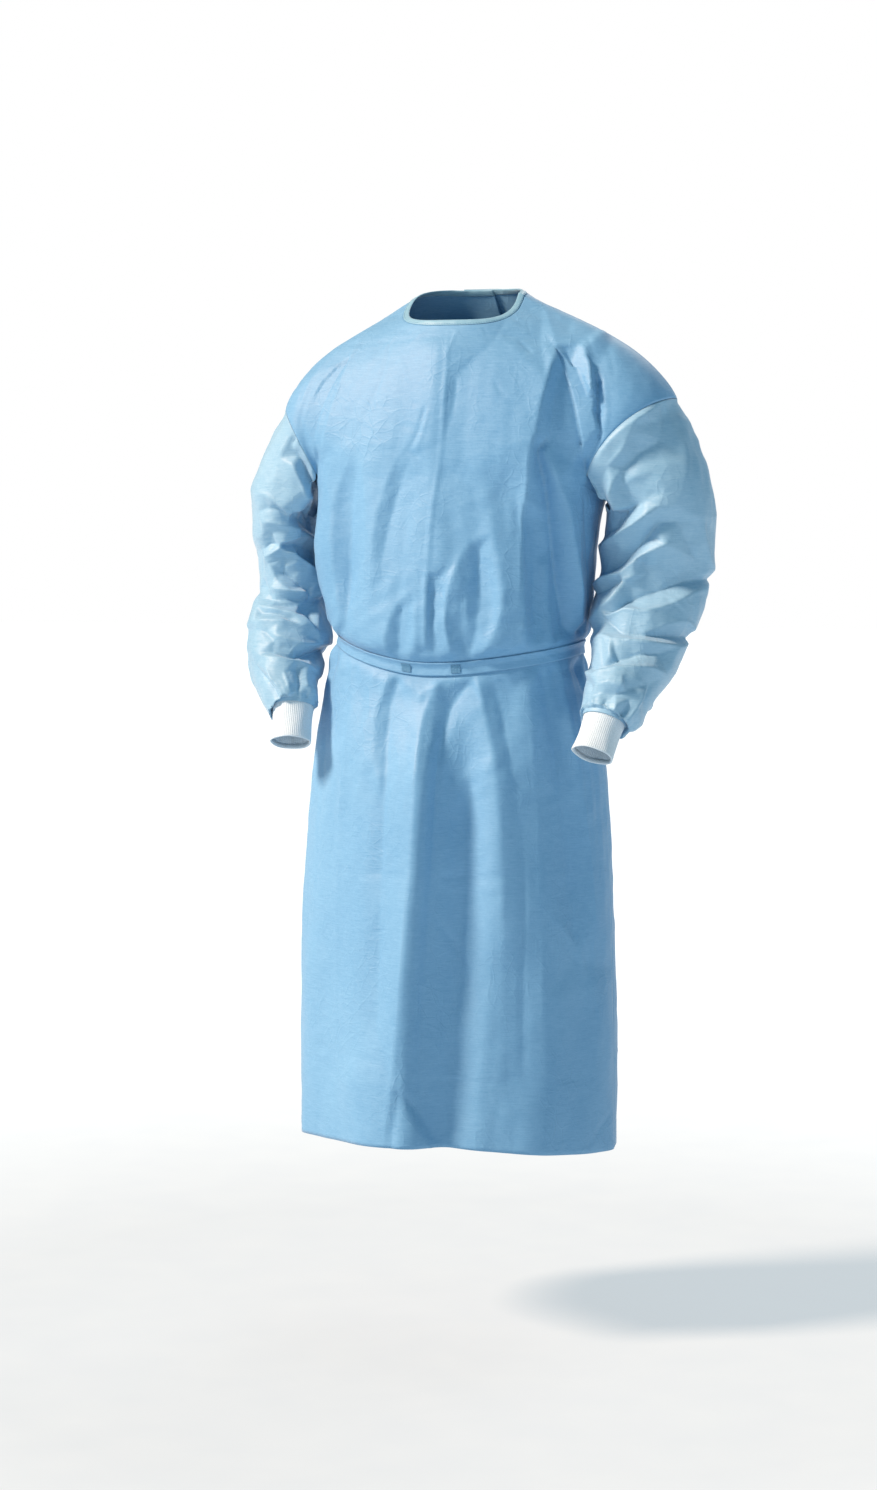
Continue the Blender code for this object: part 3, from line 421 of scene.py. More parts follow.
# Folds of the front on the photograph, in the same form as those of the sleeves below.
FRONT_FOLDS = [
    # Top of the chest
    [(330, 350, 0), (420, 338, 0), (500, 335, 0), (540, 340, 0)],
    [(447, 372, 0.6), (445, 392, 1.0), (444, 412, 0.8), (443, 440, 0.3)],
    [(456, 376, -0.5), (455, 395, -1), (452, 414, -0.5)],
    [(366, 332, 1), (356, 350, 2), (346, 372, 2), (335, 402, 2), (326, 436, 2), (321, 460, 1)],
    [(392, 335, 0), (384, 370, 0), (368, 410, 0), (352, 440, 0)],
    [(335, 335, 0), (318, 360, 0), (305, 385, 0), (296, 410, 0)],
    [(556, 348, 4), (552, 364, 8), (546, 385, 10), (539, 412, 11), (533, 440, 11)],
    [(566, 350, 0), (571, 362, -3), (574, 380, -4), (580, 400, -4), (587, 419, -2)],
    [(556, 384, 0), (553, 410, -1), (550, 436, -1)],
    [(561, 386, -1), (567, 420, -1), (574, 448, -2)],
    [(578, 345, 2), (584, 352, 5), (590, 366, 8), (592, 390, 8), (590, 416, 4)],
    [(594, 370, 0), (597, 380, -6), (597, 410, -7), (596, 440, -6), (594, 466, -4)],
    [(603, 380, 1), (606, 410, 1), (603, 440, 1)],
    # Left of the chest
    [(352, 452, 0.5), (343, 478, 1.5), (334, 506, 2), (332, 540, 2), (335, 578, 2), (341, 612, 2)],
    [(357, 456, -0.5), (353, 490, -1.5), (350, 530, -3), (348, 570, -3.5), (346, 598, -3), (344, 618, -2)],
    [(362, 462, 0), (366, 500, 1), (366, 550, 1), (362, 610, 0)],
    [(402, 448, 0.5), (389, 478, 1.5), (379, 508, 2), (373, 538, 2), (372, 568, 1.5)],
    [(409, 458, -1), (399, 486, -1.5), (389, 520, -2), (382, 554, -1.5), (380, 575, -0.5)],
    [(320, 460, 0), (318, 520, 0), (326, 570, 1)],
    # The pressed middle line, down to the belt
    [(441, 462, 0.5), (433, 500, 1.5), (430, 540, 2), (427.5, 575, 2), (426.5, 610, 2.4), (426, 645, 2)],
    [(434, 580, -1), (431.5, 600, -2), (431, 625, -2.5), (432, 648, -1)],
    [(442, 590, 1), (440, 620, 1), (440, 650, 0.5)],
    # The hollow above the belt and the ridge on its right
    [(471, 542, 1), (459, 561, 3), (450, 588, 4), (446, 612, 4), (447, 636, 4), (454, 657, 2)],
    [(466, 575, -1), (461, 600, -3), (459, 630, -4), (463, 655, -3)],
    [(478, 549, -2), (480, 578, -5), (480, 608, -6), (476, 636, -6), (468, 657, -4)],
    [(490, 505, 3), (492, 535, 5), (497, 566, 7), (501, 594, 9), (499, 616, 8), (490, 638, 6), (481, 656, 3)],
    [(508, 500, 7), (507, 540, 8), (509, 580, 8), (508, 620, 6), (503, 652, 2)],
    # Low on the left
    [(402, 601, 1), (391, 618, 3), (386, 638, 3), (389, 655, 2)],
    [(401, 606, -1), (398, 630, -3), (397, 655, -3)],
    [(412, 600, 0.5), (414, 650, 0.5)],
    # The deep fold at the right of the chest
    [(531, 446, 11), (529, 478, 11), (526, 500, 11), (520, 522, 10), (517, 560, 10), (518, 600, 9),
     (525, 645, 4)],
    [(537, 450, -3), (545, 484, -8), (551, 516, -11), (557, 550, -13), (563, 584, -14), (569, 614, -12),
     (574, 642, -8)],
    [(533, 520, -2), (534, 560, -4), (534, 600, -4), (540, 652, -5)],
    [(547, 570, -4), (551, 610, -4), (556, 650, -3)],
    [(543, 452, 3), (556, 480, 5), (565, 508, 6), (571, 544, 6), (577, 584, 6), (580, 622, 3)],
    [(580, 450, 0), (584, 500, 0), (586, 560, 0), (587, 620, 0)],
    # Skirt: the long crest, the hollow beside it and the broad light fold
    [(456, 672, 2), (441, 683, 4), (430, 700, 6), (422, 738, 8), (417, 817, 9), (413, 882, 9),
     (408, 935, 9), (401, 1023, 8), (395, 1085, 7), (385, 1168, 5)],
    [(468, 682, -4), (450, 706, -5), (441, 750, -5), (436, 817, -4), (431, 882, -3), (427, 950, -3),
     (421, 1040, -2), (419, 1105, -2), (432, 1168, -2)],
    [(475, 673, 2), (483, 705, 4), (494, 760, 4), (500, 830, 3), (503, 920, 1), (502, 1020, 0),
     (500, 1110, 0)],
    [(492, 674, -3), (503, 720, -2), (514, 790, 0), (522, 860, 0), (523, 960, 0), (523, 1085, 0)],
    [(528, 676, 1), (534, 760, 2), (540, 860, 2), (544, 1000, 2), (548, 1110, 2)],
    [(543, 672, -4), (552, 720, -5), (563, 800, -5), (571, 880, -4), (576, 960, -2)],
    [(560, 674, 1), (574, 740, 3), (586, 830, 3), (594, 920, 2)],
    [(397, 671, 2), (386, 688, 3), (378, 712, 3), (374, 760, 2)],
    [(399, 678, -1), (391, 700, -2), (386, 740, -2), (383, 800, -2), (380, 900, -1), (376, 1020, -1)],
    [(352, 690, 0), (346, 760, 3), (341, 850, 3), (338, 960, 2), (336, 1080, 2)],
    [(332, 680, -2), (322, 740, -3), (317, 820, -3), (314, 920, -2)],
    [(400, 1095, 2), (410, 1118, 3), (424, 1140, 3), (437, 1158, 2)],
    [(412, 1105, -2), (428, 1128, -2), (446, 1152, -1)],
    [(596, 1128, 2), (588, 1145, 2)],
]

# Folds of the sleeves on the photograph. Each is a line of points over its pixels, each with its
# lift in millimetres; between them the cloth lies in flat facets.
SLEEVE_FOLDS = {
    "left": [
        # Front armhole flap and the wide upper part
        [(636, 415, 5), (630, 432, 4), (622, 450, 3), (608, 466, 2)],
        [(660, 398, 0), (664, 420, -2), (661, 440, -3), (640, 452, -4), (624, 468, -5), (621, 485, -5)],
        [(680, 440, 4), (686, 460, 5), (682, 484, 5), (676, 505, 4)],
        [(640, 425, 2), (645, 436, 2)],
        [(612, 482, 5), (611, 495, 5), (615, 508, 4)],
        [(600, 485, -2), (606, 502, -3), (616, 516, -7)],
        [(655, 470, 1), (664, 492, 2), (668, 508, 2)],
        [(636, 476, 0), (646, 484, -2), (652, 496, -2)],
        # The deep crease at the bend of the elbow and the roll under it
        [(607, 533, -6), (614, 526, -10), (622, 516, -10), (634, 508, -8), (647, 501, -3)],
        [(603, 545, 3), (616, 536, 7), (632, 524, 8), (646, 513, 7), (657, 506, 4), (652, 500, 1)],
        [(594, 577, -4), (606, 569, -8), (622, 560, -9), (636, 549, -8), (648, 536, -8), (660, 524, -6),
         (678, 522, -3)],
        [(593, 586, 3), (606, 578, 5), (622, 573, 4), (638, 558, 5), (650, 550, 6), (664, 543, 6),
         (660, 533, 1)],
        [(641, 560, -2), (646, 572, -4), (634, 579, -3)],
        [(594, 594, -5), (606, 586, -7), (620, 580, -5)],
        [(601, 609, 3), (612, 602, 6), (619, 592, 5), (622, 583, 3)],
        [(624, 582, 3), (634, 578, 3)],
        # The outer bulge above the forearm
        [(700, 520, 3), (704, 545, 5), (707, 568, 7)],
        [(690, 545, -2), (696, 560, -2)],
        [(612, 612, -5), (626, 599, -9), (645, 593, -9), (668, 588, -8), (690, 582, -6), (709, 578, 2)],
        [(604, 615, 2), (624, 609, 3), (645, 612, 5), (668, 605, 5), (690, 592, 6), (698, 588, 6)],
        [(605, 620, -3), (618, 629, -7), (640, 632, -7), (664, 635, -7), (685, 638, -5), (692, 640, 2)],
        [(655, 629, -1), (668, 624, 2), (684, 622, 5), (692, 630, 5)],
        [(604, 636, 4), (612, 640, 4), (610, 655, 2)],
        [(622, 640, 3), (650, 643, 4), (676, 646, 4)],
        [(588, 668, -4), (600, 664, -6), (616, 657, -8), (638, 653, -6), (660, 653, -3)],
        [(590, 674, 2), (604, 670, 3), (626, 668, 4), (650, 668, 4), (664, 674, 3)],
        [(598, 684, 3), (610, 684, 5), (622, 686, 6), (622, 676, 4)],
        [(602, 692, -2), (616, 693, -3), (626, 690, -2)],
        [(590, 684, -3), (588, 696, -2)],
        [(592, 700, 2), (594, 712, 2)],
        [(604, 702, -3), (602, 714, -3)],
        [(616, 704, 2), (612, 716, 2)],
        [(630, 700, -2), (624, 714, -3), (616, 722, -2)],
        [(644, 694, 2), (636, 708, 2), (626, 718, 2)],
        [(650, 684, -1), (644, 704, -2)],
    ],
    "right": [
        # The bright upper facet and the creases round it
        [(302, 417, -3), (302, 428, -4), (296, 436, -4), (290, 442, -3)],
        [(302, 428, -4), (306, 434, -3), (311, 439, -1)],
        [(292, 436, 1), (286, 446, 1), (280, 458, 0), (276, 472, 0), (274, 486, 1)],
        [(304, 440, 4), (310, 448, 4), (312, 462, 3), (313, 476, 2)],
        [(291, 448, -3), (297, 456, -6), (303, 468, -7), (308, 477, -7), (314, 486, -5)],
        [(295, 464, 4), (300, 476, 6), (306, 488, 7), (308, 500, 6)],
        [(256, 492, 2), (266, 495, 3), (274, 500, 4), (283, 506, 6), (291, 512, 6)],
        [(262, 470, 0), (266, 480, 0), (270, 488, 1)],
        [(304, 505, 3), (296, 512, -1)],
        [(304, 507, -5), (308, 514, -6), (312, 521, -6)],
        [(293, 514, -2), (300, 521, -4), (309, 528, -5), (318, 536, -5)],
        # Between the two bends
        [(257, 512, -1), (268, 508, -1), (280, 510, -2), (289, 519, -1)],
        [(263, 522, 2), (276, 522, 3), (290, 525, 4), (297, 528, 4), (300, 536, 3)],
        [(300, 536, 3), (290, 539, 4), (281, 542, 4)],
        [(262, 536, -1), (272, 534, -1)],
        [(300, 530, 2), (310, 536, 3), (318, 541, 3)],
        [(284, 545, -4), (295, 545, -5), (308, 547, -5), (320, 552, -5)],
        [(297, 549, -3), (301, 556, -6), (310, 561, -7), (320, 569, -6)],
        [(262, 550, -4), (268, 545, -5), (276, 545, -4)],
        [(280, 547, 3), (287, 552, 4), (294, 553, 5), (302, 560, 5), (310, 567, 6), (318, 571, 6),
         (322, 580, 7), (324, 594, 5)],
        [(286, 558, 0), (284, 568, -1), (282, 573, -3), (292, 578, -5), (302, 585, -6), (310, 590, -5),
         (318, 595, -4)],
        [(266, 556, 2), (272, 566, 3), (276, 578, 3), (274, 590, 3), (290, 592, 4), (304, 594, 4)],
        [(262, 578, -2), (266, 590, -3)],
        # The forearm, which puffs out over the cuff
        [(262, 598, -3), (274, 598, -4), (286, 597, -5), (298, 597, -7), (312, 598, -7), (324, 598, -7)],
        [(278, 603, -5), (290, 604, -6)],
        [(300, 603, -7), (306, 610, -9), (310, 618, -9)],
        [(258, 606, 2), (270, 608, 2), (284, 611, 1), (294, 615, 4), (303, 619, 6), (309, 626, 7),
         (313, 633, 7), (318, 645, 6)],
        [(262, 613, -1), (276, 614, -1), (290, 619, -2)],
        [(258, 622, 5), (272, 622, 5), (286, 623, 5), (300, 627, 5)],
        [(278, 626, 4), (290, 630, 1), (304, 634, 1), (312, 639, 2)],
        [(256, 630, 0), (266, 632, 0), (274, 640, 0)],
        [(276, 636, 4), (290, 641, 4), (304, 646, 5)],
        [(280, 644, -1), (294, 648, -2)],
        [(272, 651, -4), (284, 654, -6), (296, 656, -7), (304, 654, -9), (316, 653, -9)],
        [(258, 654, 1), (268, 657, 3), (282, 660, 4), (296, 662, 4), (306, 666, 5), (312, 670, 4)],
        [(254, 664, -2), (260, 672, -3), (268, 680, -3)],
        [(297, 668, -2), (299, 680, -3), (299, 690, -2)],
        [(284, 672, 2), (288, 684, 3), (290, 692, 2)],
        [(266, 668, 3), (272, 680, 4), (280, 690, 3)],
        [(304, 676, 4), (306, 688, 3)],
        [(311, 672, 2), (305, 678, 3)],
        [(276, 690, -2), (270, 682, -2), (262, 676, -2)],
    ],
}
# How far outside its folds a net's lift has come down to nothing
NET_MARGIN = 30.0

# Folds of the sleeves where the photograph doesn't show them: angle in degrees, 0 outward and 90
# forward, part of the sleeve's length, and lift in millimetres.
HIDDEN_FOLDS = {
    "left": [
        [(-20, 0.10, 2), (-34, 0.18, 4), (-40, 0.27, 4)],
        [(-52, 0.12, -3), (-64, 0.22, -5), (-70, 0.33, -5)],
        [(-92, 0.10, 3), (-98, 0.20, 4), (-96, 0.30, 5)],
        [(-118, 0.12, -3), (-134, 0.24, -6), (-150, 0.32, -5)],
        [(5, 0.34, 3), (-30, 0.38, 5), (-66, 0.42, 6), (-96, 0.41, 4)],
        [(-10, 0.42, -4), (-44, 0.46, -8), (-84, 0.49, -8), (-128, 0.45, -6), (-158, 0.43, -4)],
        [(0, 0.50, 3), (-40, 0.53, 6), (-78, 0.56, 6), (-116, 0.54, 5), (-150, 0.50, 4)],
        [(-22, 0.60, -4), (-60, 0.61, -7), (-100, 0.63, -7), (-146, 0.58, -6)],
        [(-52, 0.57, 2), (-56, 0.61, -2)],
        [(-14, 0.66, 4), (-56, 0.68, 6), (-98, 0.70, 5), (-140, 0.66, 4)],
        [(-30, 0.75, -5), (-66, 0.74, -6), (-96, 0.77, -6), (-132, 0.73, -5)],
        [(-20, 0.82, 3), (-60, 0.81, 5), (-104, 0.84, 5), (-150, 0.80, 3)],
        [(-40, 0.86, -3), (-52, 0.93, -4)],
        [(-66, 0.87, 3), (-72, 0.94, 3)],
        [(-88, 0.88, -4), (-94, 0.95, -4)],
        [(-112, 0.88, 3), (-116, 0.95, 3)],
        [(-136, 0.86, -4), (-142, 0.94, -3)],
        [(150, 0.30, 2), (146, 0.40, 2)],
        [(130, 0.46, -4), (158, 0.48, -5)],
        [(136, 0.56, 2), (160, 0.57, 2)],
        [(132, 0.66, -4), (158, 0.68, -4)],
        [(140, 0.78, 2), (160, 0.80, 2)],
    ],
    "right": [
        [(-16, 0.12, 2), (-28, 0.20, 4), (-44, 0.29, 4)],
        [(-46, 0.10, -3), (-60, 0.20, -5), (-76, 0.30, -6)],
        [(-88, 0.14, 4), (-102, 0.24, 5), (-100, 0.33, 4)],
        [(-124, 0.12, -4), (-138, 0.22, -6), (-160, 0.28, -4)],
        [(0, 0.32, 2), (-36, 0.35, 5), (-70, 0.38, 6), (-104, 0.36, 4)],
        [(-6, 0.39, -4), (-50, 0.43, -7), (-92, 0.45, -8), (-134, 0.41, -6), (-160, 0.40, -3)],
        [(-4, 0.47, 3), (-36, 0.50, 5), (-80, 0.53, 6), (-120, 0.50, 5), (-154, 0.47, 3)],
        [(-26, 0.56, -5), (-68, 0.59, -8), (-106, 0.59, -7), (-150, 0.54, -5)],
        [(-84, 0.54, 3), (-90, 0.58, -2)],
        [(-10, 0.63, 3), (-50, 0.66, 6), (-92, 0.66, 6), (-136, 0.62, 4)],
        [(-34, 0.72, -4), (-74, 0.73, -6), (-112, 0.72, -6), (-140, 0.69, -4)],
        [(-16, 0.79, 3), (-54, 0.80, 5), (-98, 0.81, 4), (-144, 0.77, 4)],
        [(-34, 0.85, -4), (-44, 0.92, -3)],
        [(-58, 0.86, 3), (-64, 0.94, 4)],
        [(-82, 0.87, -4), (-86, 0.95, -3)],
        [(-106, 0.86, 3), (-112, 0.94, 3)],
        [(-130, 0.85, -4), (-138, 0.93, -4)],
        [(148, 0.28, 2), (150, 0.38, 2)],
        [(134, 0.44, -4), (160, 0.45, -4)],
        [(138, 0.53, 2), (158, 0.54, 2)],
        [(134, 0.63, -4), (160, 0.64, -5)],
        [(142, 0.74, 2), (158, 0.77, 2)],
    ],
}

# Gathers that the belt pulls in: degrees round the body from the front centre, with the width in
# degrees, the lift, and how far they reach above and below the belt.
GATHER_COLUMNS = ("turn", "width", "lift_mm", "above_mm", "below_mm")
GATHERS = [
    (-170, 4.0, -3.0, 60, 90), (-161, 3.5, 2.6, 40, 60), (-152, 4.5, -3.4, 55, 80),
    (-143, 3.8, 2.4, 45, 55), (-134, 5.0, -4.0, 70, 90), (-124, 4.2, 3.0, 50, 60),
    (-115, 4.6, -3.2, 60, 75), (-106, 4.0, 2.8, 40, 55), (-97, 5.2, -4.2, 70, 85),
    (-83, 4.6, -3.0, 50, 60), (-75, 4.0, 2.6, 40, 50), (-67, 5.0, -3.6, 55, 70),
    (-58, 4.2, 2.2, 35, 45), (-47, 3.6, -1.8, 30, 40), (-33, 3.4, 1.6, 25, 35),
    (-21, 3.0, -1.4, 22, 30), (24, 3.2, -1.6, 25, 35), (36, 3.6, 1.6, 30, 40),
    (47, 4.0, -2.2, 35, 45), (56, 4.0, 2.4, 40, 50), (65, 4.8, -3.4, 50, 65),
    (74, 4.2, 2.8, 40, 55), (84, 4.8, -3.8, 60, 80), (96, 4.2, 3.0, 45, 60),
    (104, 5.0, -4.0, 65, 85), (114, 4.2, 2.6, 45, 55), (124, 4.8, -3.4, 60, 80),
    (134, 4.0, 2.8, 40, 55), (143, 4.6, -3.6, 60, 75), (153, 3.8, 2.4, 40, 50),
    (162, 4.2, -3.0, 50, 70), (171, 3.8, 2.2, 40, 50),
]

# Tucks where each sleeve is drawn in to its cuff: degrees, width in degrees and lift
TUCK_COLUMNS = ("angle", "width", "lift_mm")
TUCKS = [
    (-172, 9, -1.2), (-155, 8, 1.0), (-138, 9, -1.4), (-120, 8, 0.9), (-104, 9, -1.2),
    (-86, 8, 1.1), (-70, 9, -1.4), (-52, 8, 1.0), (-36, 9, -1.2), (-17, 8, 1.0),
    (2, 9, -1.3), (20, 8, 1.0), (37, 9, -1.1), (55, 8, 1.1), (71, 9, -1.4),
    (90, 8, 0.9), (106, 9, -1.2), (125, 8, 1.0), (141, 9, -1.3), (159, 8, 0.9),
]


def ramp(value, start, end):
    """Smooth 0 to 1 between start and end."""
    part = np.clip((value - start) / (end - start), 0.0, 1.0)
    return part * part * (3.0 - 2.0 * part)


def unit(vectors):
    """Vectors of length one, along the last axis."""
    vectors = np.asarray(vectors, float)
    return vectors / np.linalg.norm(vectors, axis=-1, keepdims=True)


def hermite(start, start_pull, end, end_pull, part):
    """Point on the cubic that leaves start along start_pull and reaches end along end_pull."""
    square, cube = part * part, part * part * part
    leave = (2 * cube - 3 * square + 1) * start + (cube - 2 * square + part) * start_pull
    return leave + (3 * square - 2 * cube) * end + (cube - square) * end_pull


def read_smooth(rows, at):
    """A table's other columns at values of its first, on a smooth curve: one row for each value."""
    table = np.array(rows, float)
    keys = table[:, 0]
    at = np.clip(np.atleast_1d(at).astype(float), keys[0], keys[-1])
    place = np.clip(np.searchsorted(keys, at) - 1, 0, len(keys) - 2)
    slopes = np.gradient(table, keys, axis=0)
    gap = (keys[place + 1] - keys[place])[:, None]
    part = (at - keys[place])[:, None] / gap
    ends = table[place], slopes[place] * gap, table[place + 1], slopes[place + 1] * gap
    return hermite(*ends, part)[:, 1:]


def wrap(turns):
    """Turns in degrees from the front centre, between -180 and 180, positive toward +X."""
    return (np.asarray(turns, float) + 180.0) % 360.0 - 180.0


def by_side(turns, right, left):
    """One value for turns on the wearer's right, another for those on the left."""
    return np.where(wrap(turns) < 0, right, left)


def facing(turns):
    """1 at the front centre, -1 at the back centre."""
    return np.cos(np.radians(turns))


def oval(turns, across, deep, power):
    """Points x, y of a squared oval in the directions turns, 0 being -Y and 90 being +X."""
    angle = np.radians(turns)
    reach = (np.abs(np.sin(angle)) / across) ** power + (np.abs(np.cos(angle)) / deep) ** power
    radius = reach ** (-1.0 / power)
    return radius * np.sin(angle), -radius * np.cos(angle)


def height_round(heights, turns):
    """Height of the belt or the hem, from its heights at the front, back and sides."""
    centre = np.where(facing(turns) > 0, heights["front"], heights["back"])
    side = by_side(turns, heights["right"], heights["left"])
    return side + (centre - side) * np.abs(facing(turns)) ** HEIGHT_CURVE


def armpit_z(turns):
    away = np.abs(np.abs(wrap(turns)) - SIDE) / (SIDE - ARM_FRONT)
    return ARMPIT_Z - UNDERARM_DIP * (1.0 - ramp(away, 0.0, 1.0))


def body_points(turns, level, rise=0.0):
    """Points on the body below the arms, rise above the height that their level gives."""
    top, middle = armpit_z(turns), height_round(BELT_Z, turns)
    if level < 1.0 or rise > 0:
        span = top - middle
        z = top - span * level + rise
    else:
        span = middle - height_round(HEM_Z, turns)
        z = middle - span * (level - 1.0) + rise
    shift, right, left, front, back, power = read_smooth(SECTIONS, level - rise / span).T
    across = by_side(turns, right, left)
    deep = np.where(np.abs(wrap(turns)) < SIDE, front, back)
    x, y = oval(turns, across, deep, power)
    return np.stack([shift + x, y, z], axis=-1)


def neck_points(turns):
    """Points on the neck's top edge."""
    half_width = by_side(turns, *[row[1] for row in NECK])
    side_height = by_side(turns, *[row[2] for row in NECK])
    front = np.abs(wrap(turns)) < SIDE
    x, y = oval(turns, half_width, np.where(front, NECK_FRONT, NECK_BACK), NECK_POWER)
    centre = np.where(front, NECK_FRONT_Z, NECK_BACK_Z)
    z = side_height + (centre - side_height) * (1.0 - (1.0 - np.abs(facing(turns))) ** 2)
    return np.stack([NECK_CENTRE_X + x, y, z], axis=-1)


def neck_slopes(turns):
    """Directions in which the cloth leaves the neck."""
    front = facing(turns) > 0
    out, down = NECK_SLOPE["side"]
    along = np.where(front, NECK_SLOPE["front"][0], NECK_SLOPE["back"][0])
    fall = np.where(front, NECK_SLOPE["front"][1], NECK_SLOPE["back"][1])
    x = out * np.sin(np.radians(turns))
    z = down + (fall - down) * facing(turns) ** 2
    return unit(np.stack([x, -along * facing(turns), z], axis=-1))


def armhole_points(turns):
    """Points of the armhole seams over the top of the arms, and how the cloth falls there."""
    sign = by_side(turns, -1.0, 1.0)
    place = np.abs(wrap(turns))
    before = place < SIDE
    forward = np.where(before, -1.0, 1.0)
    flat = np.zeros_like(sign)
    top = np.stack([by_side(turns, *[row[column] for row in SHOULDERS]) for column in (1, 2, 3)], axis=-1)
    corner = body_points(sign * np.where(before, ARM_FRONT, ARM_BACK), 0.0)
    leaves_out, leaves_forward, leaves_up = ARCH_LEAVES
    leave = np.stack([leaves_out * sign, leaves_forward * forward, flat + leaves_up], axis=-1)
    reach = np.stack([ARCH_TOP_LEAN * sign, -forward, flat], axis=-1)
    part = np.clip((SIDE - np.abs(place - SIDE) - ARM_FRONT) / (SIDE - ARM_FRONT), 0.0, 1.0)[:, None]
    out, down = (by_side(turns, *[row[column] for row in SHOULDERS]) for column in (4, 5))
    fall = part * np.stack([out, flat, down], axis=-1) + (1.0 - part) * np.array([0.0, 0.0, -1.0])
    seam = hermite(corner, ARCH_REACH * unit(leave), top, ARCH_REACH * unit(reach), part)
    return seam, unit(fall)


def yoke_points(turns, part):
    """Points between the neck, part 0, and the armpit level or armhole, part 1."""
    turns = np.asarray(turns, float)
    slopes = neck_slopes(turns)
    start = neck_points(turns) + BINDING_HEIGHT * slopes
    over_arm = (np.abs(np.abs(wrap(turns)) - SIDE) < SIDE - ARM_FRONT)[:, None]
    arch, fall = armhole_points(turns)
    end = np.where(over_arm, arch, body_points(turns, 0.0))
    fall = np.where(over_arm, fall, [0.0, 0.0, -1.0])
    pull = np.linalg.norm(end - start, axis=-1, keepdims=True)
    return hermite(start, pull * slopes, end, pull * fall, part)


def fold_lift(face, x, z):
    """Outward lift of the main folds at x and z on one face, for arrays of points."""
    total = np.zeros_like(x)
    for row in FOLDS:
        fold = dict(zip(FOLD_COLUMNS, row))
        if fold["face"] != face:
            continue
        run = np.array([fold["x1"] - fold["x0"], fold["z1"] - fold["z0"]])
        length = np.linalg.norm(run)
        run = run / length
        along = (x - fold["x0"]) * run[0] + (z - fold["z0"]) * run[1]
        beyond = along - np.clip(along, 0.0, length)
        side = (x - fold["x0"]) * -run[1] + (z - fold["z0"]) * run[0]
        width = np.where(side > 0, fold["plus_side"], fold["minus_side"])
        away = np.clip(np.hypot(side, beyond) / width, 0.0, 1.0)
        soft = 0.5 + 0.5 * np.cos(math.pi * away)
        shape = fold["sharp"] * (1.0 - away) + (1.0 - fold["sharp"]) * soft
        fade = fold["fade"] * length
        held = ramp(along, 0.0, fade)
        if fold["z1"] > HEM_Z["left"]:
            held = held * (1.0 - ramp(along, length - fade, length))
        total += fold["lift"] * shape * held
    return total


def lap_offset(turns):
    """Outward for the panel that laps over at the back, inward for the one under it."""
    return np.sign(turns) * LAP * ramp(np.abs(turns), LAP_START, LAP_FULL)


def over_the_lap(turns):
    """Outward on both sides of the centre back, for what lies on the lapped panels."""
    return np.abs(lap_offset(turns))


def shaped(points_at, rows, turns, lift=0.0, lap=lap_offset):
    """Points and normals of a body grid, with its folds, its lap and a lift along its normals."""
    grid = np.array([points_at(turns, *row) for row in rows])
    near = 0.5
    across = np.array([points_at(turns + near, *row) - points_at(turns - near, *row) for row in rows])
    normal = unit(np.cross(across, np.gradient(grid, axis=0)))
    angle = np.radians(turns)
    outward = np.stack([np.sin(angle), -np.cos(angle), 0.4 + 0.0 * angle], axis=1)[None, :, :]
    normal *= np.where(np.sum(normal * outward, axis=2, keepdims=True) < 0, -1.0, 1.0)
    x, z = grid[:, :, 0], grid[:, :, 2]
    height = fold_lift("front", x, z) * ramp(-normal[:, :, 1], 0.0, FOLD_FACING)
    height += fold_lift("back", x, z) * ramp(normal[:, :, 1], 0.0, FOLD_FACING)
    height += lap(turns)[None, :] + lift
    return grid + normal * height[:, :, None], normal


def columns(panel_side, lap=0.0):
    """Turns of a panel's columns, from the front centre or the side seam to its other edge."""
    front = np.linspace(0.0, ARM_FRONT, FRONT_STEPS + 1)
    arm = np.linspace(ARM_FRONT, SIDE, ARM_STEPS + 1)
    if panel_side == "front":
        half = np.concatenate([front, arm[1:]])
        return np.concatenate([-half[:0:-1], half])
    rear = np.concatenate([
        np.linspace(SIDE, ARM_BACK, ARM_STEPS + 1),
        np.linspace(ARM_BACK, BACK, BACK_STEPS + 1)[1:],
    ])
    if lap:
        rear = np.concatenate([rear, np.linspace(BACK, BACK + lap, LAP_STEPS + 1)[1:]])
    return rear if panel_side == "left" else -rear


def yoke_rows():
    """Part of the way from the neck to the armpit of each yoke row."""
    return [(part,) for part in np.linspace(0.0, 1.0, YOKE_ROWS + 1)]


def belt_rows():
    """Level and rise of the rows under the belt, from its top edge to its lower one."""
    return [(1.0, rise) for rise in np.linspace(BELT_WIDTH / 2, -BELT_WIDTH / 2, BELT_ROWS + 1)]


def body_rows():
    """Level and rise of each row below the arms."""
    above, below = BELT_LEVELS
    chest = [(level, 0.0) for level in np.linspace(0.0, above, CHEST_ROWS)]
    part = np.linspace(0.0, 1.0, SKIRT_ROWS) ** ROW_GROWTH
    skirt = [(level, 0.0) for level in below + (2.0 - below) * part]
    return chest + belt_rows() + skirt


def seam_shift(grid, normals, edge, gap):
    """Move one edge column of a grid in by gap, toward the column beside it."""
    at, beside = {"first": (0, 1), "last": (-1, -2)}[edge]
    step = grid[:, beside] - grid[:, at]
    step -= normals[:, at] * np.sum(step * normals[:, at], axis=1, keepdims=True)
    grid[:, at] += gap * unit(step)


def over_arm(turns):
    """True for the columns that the armhole parts."""
    return np.abs(np.abs(wrap(turns)) - SIDE) < SIDE - ARM_FRONT - 0.01


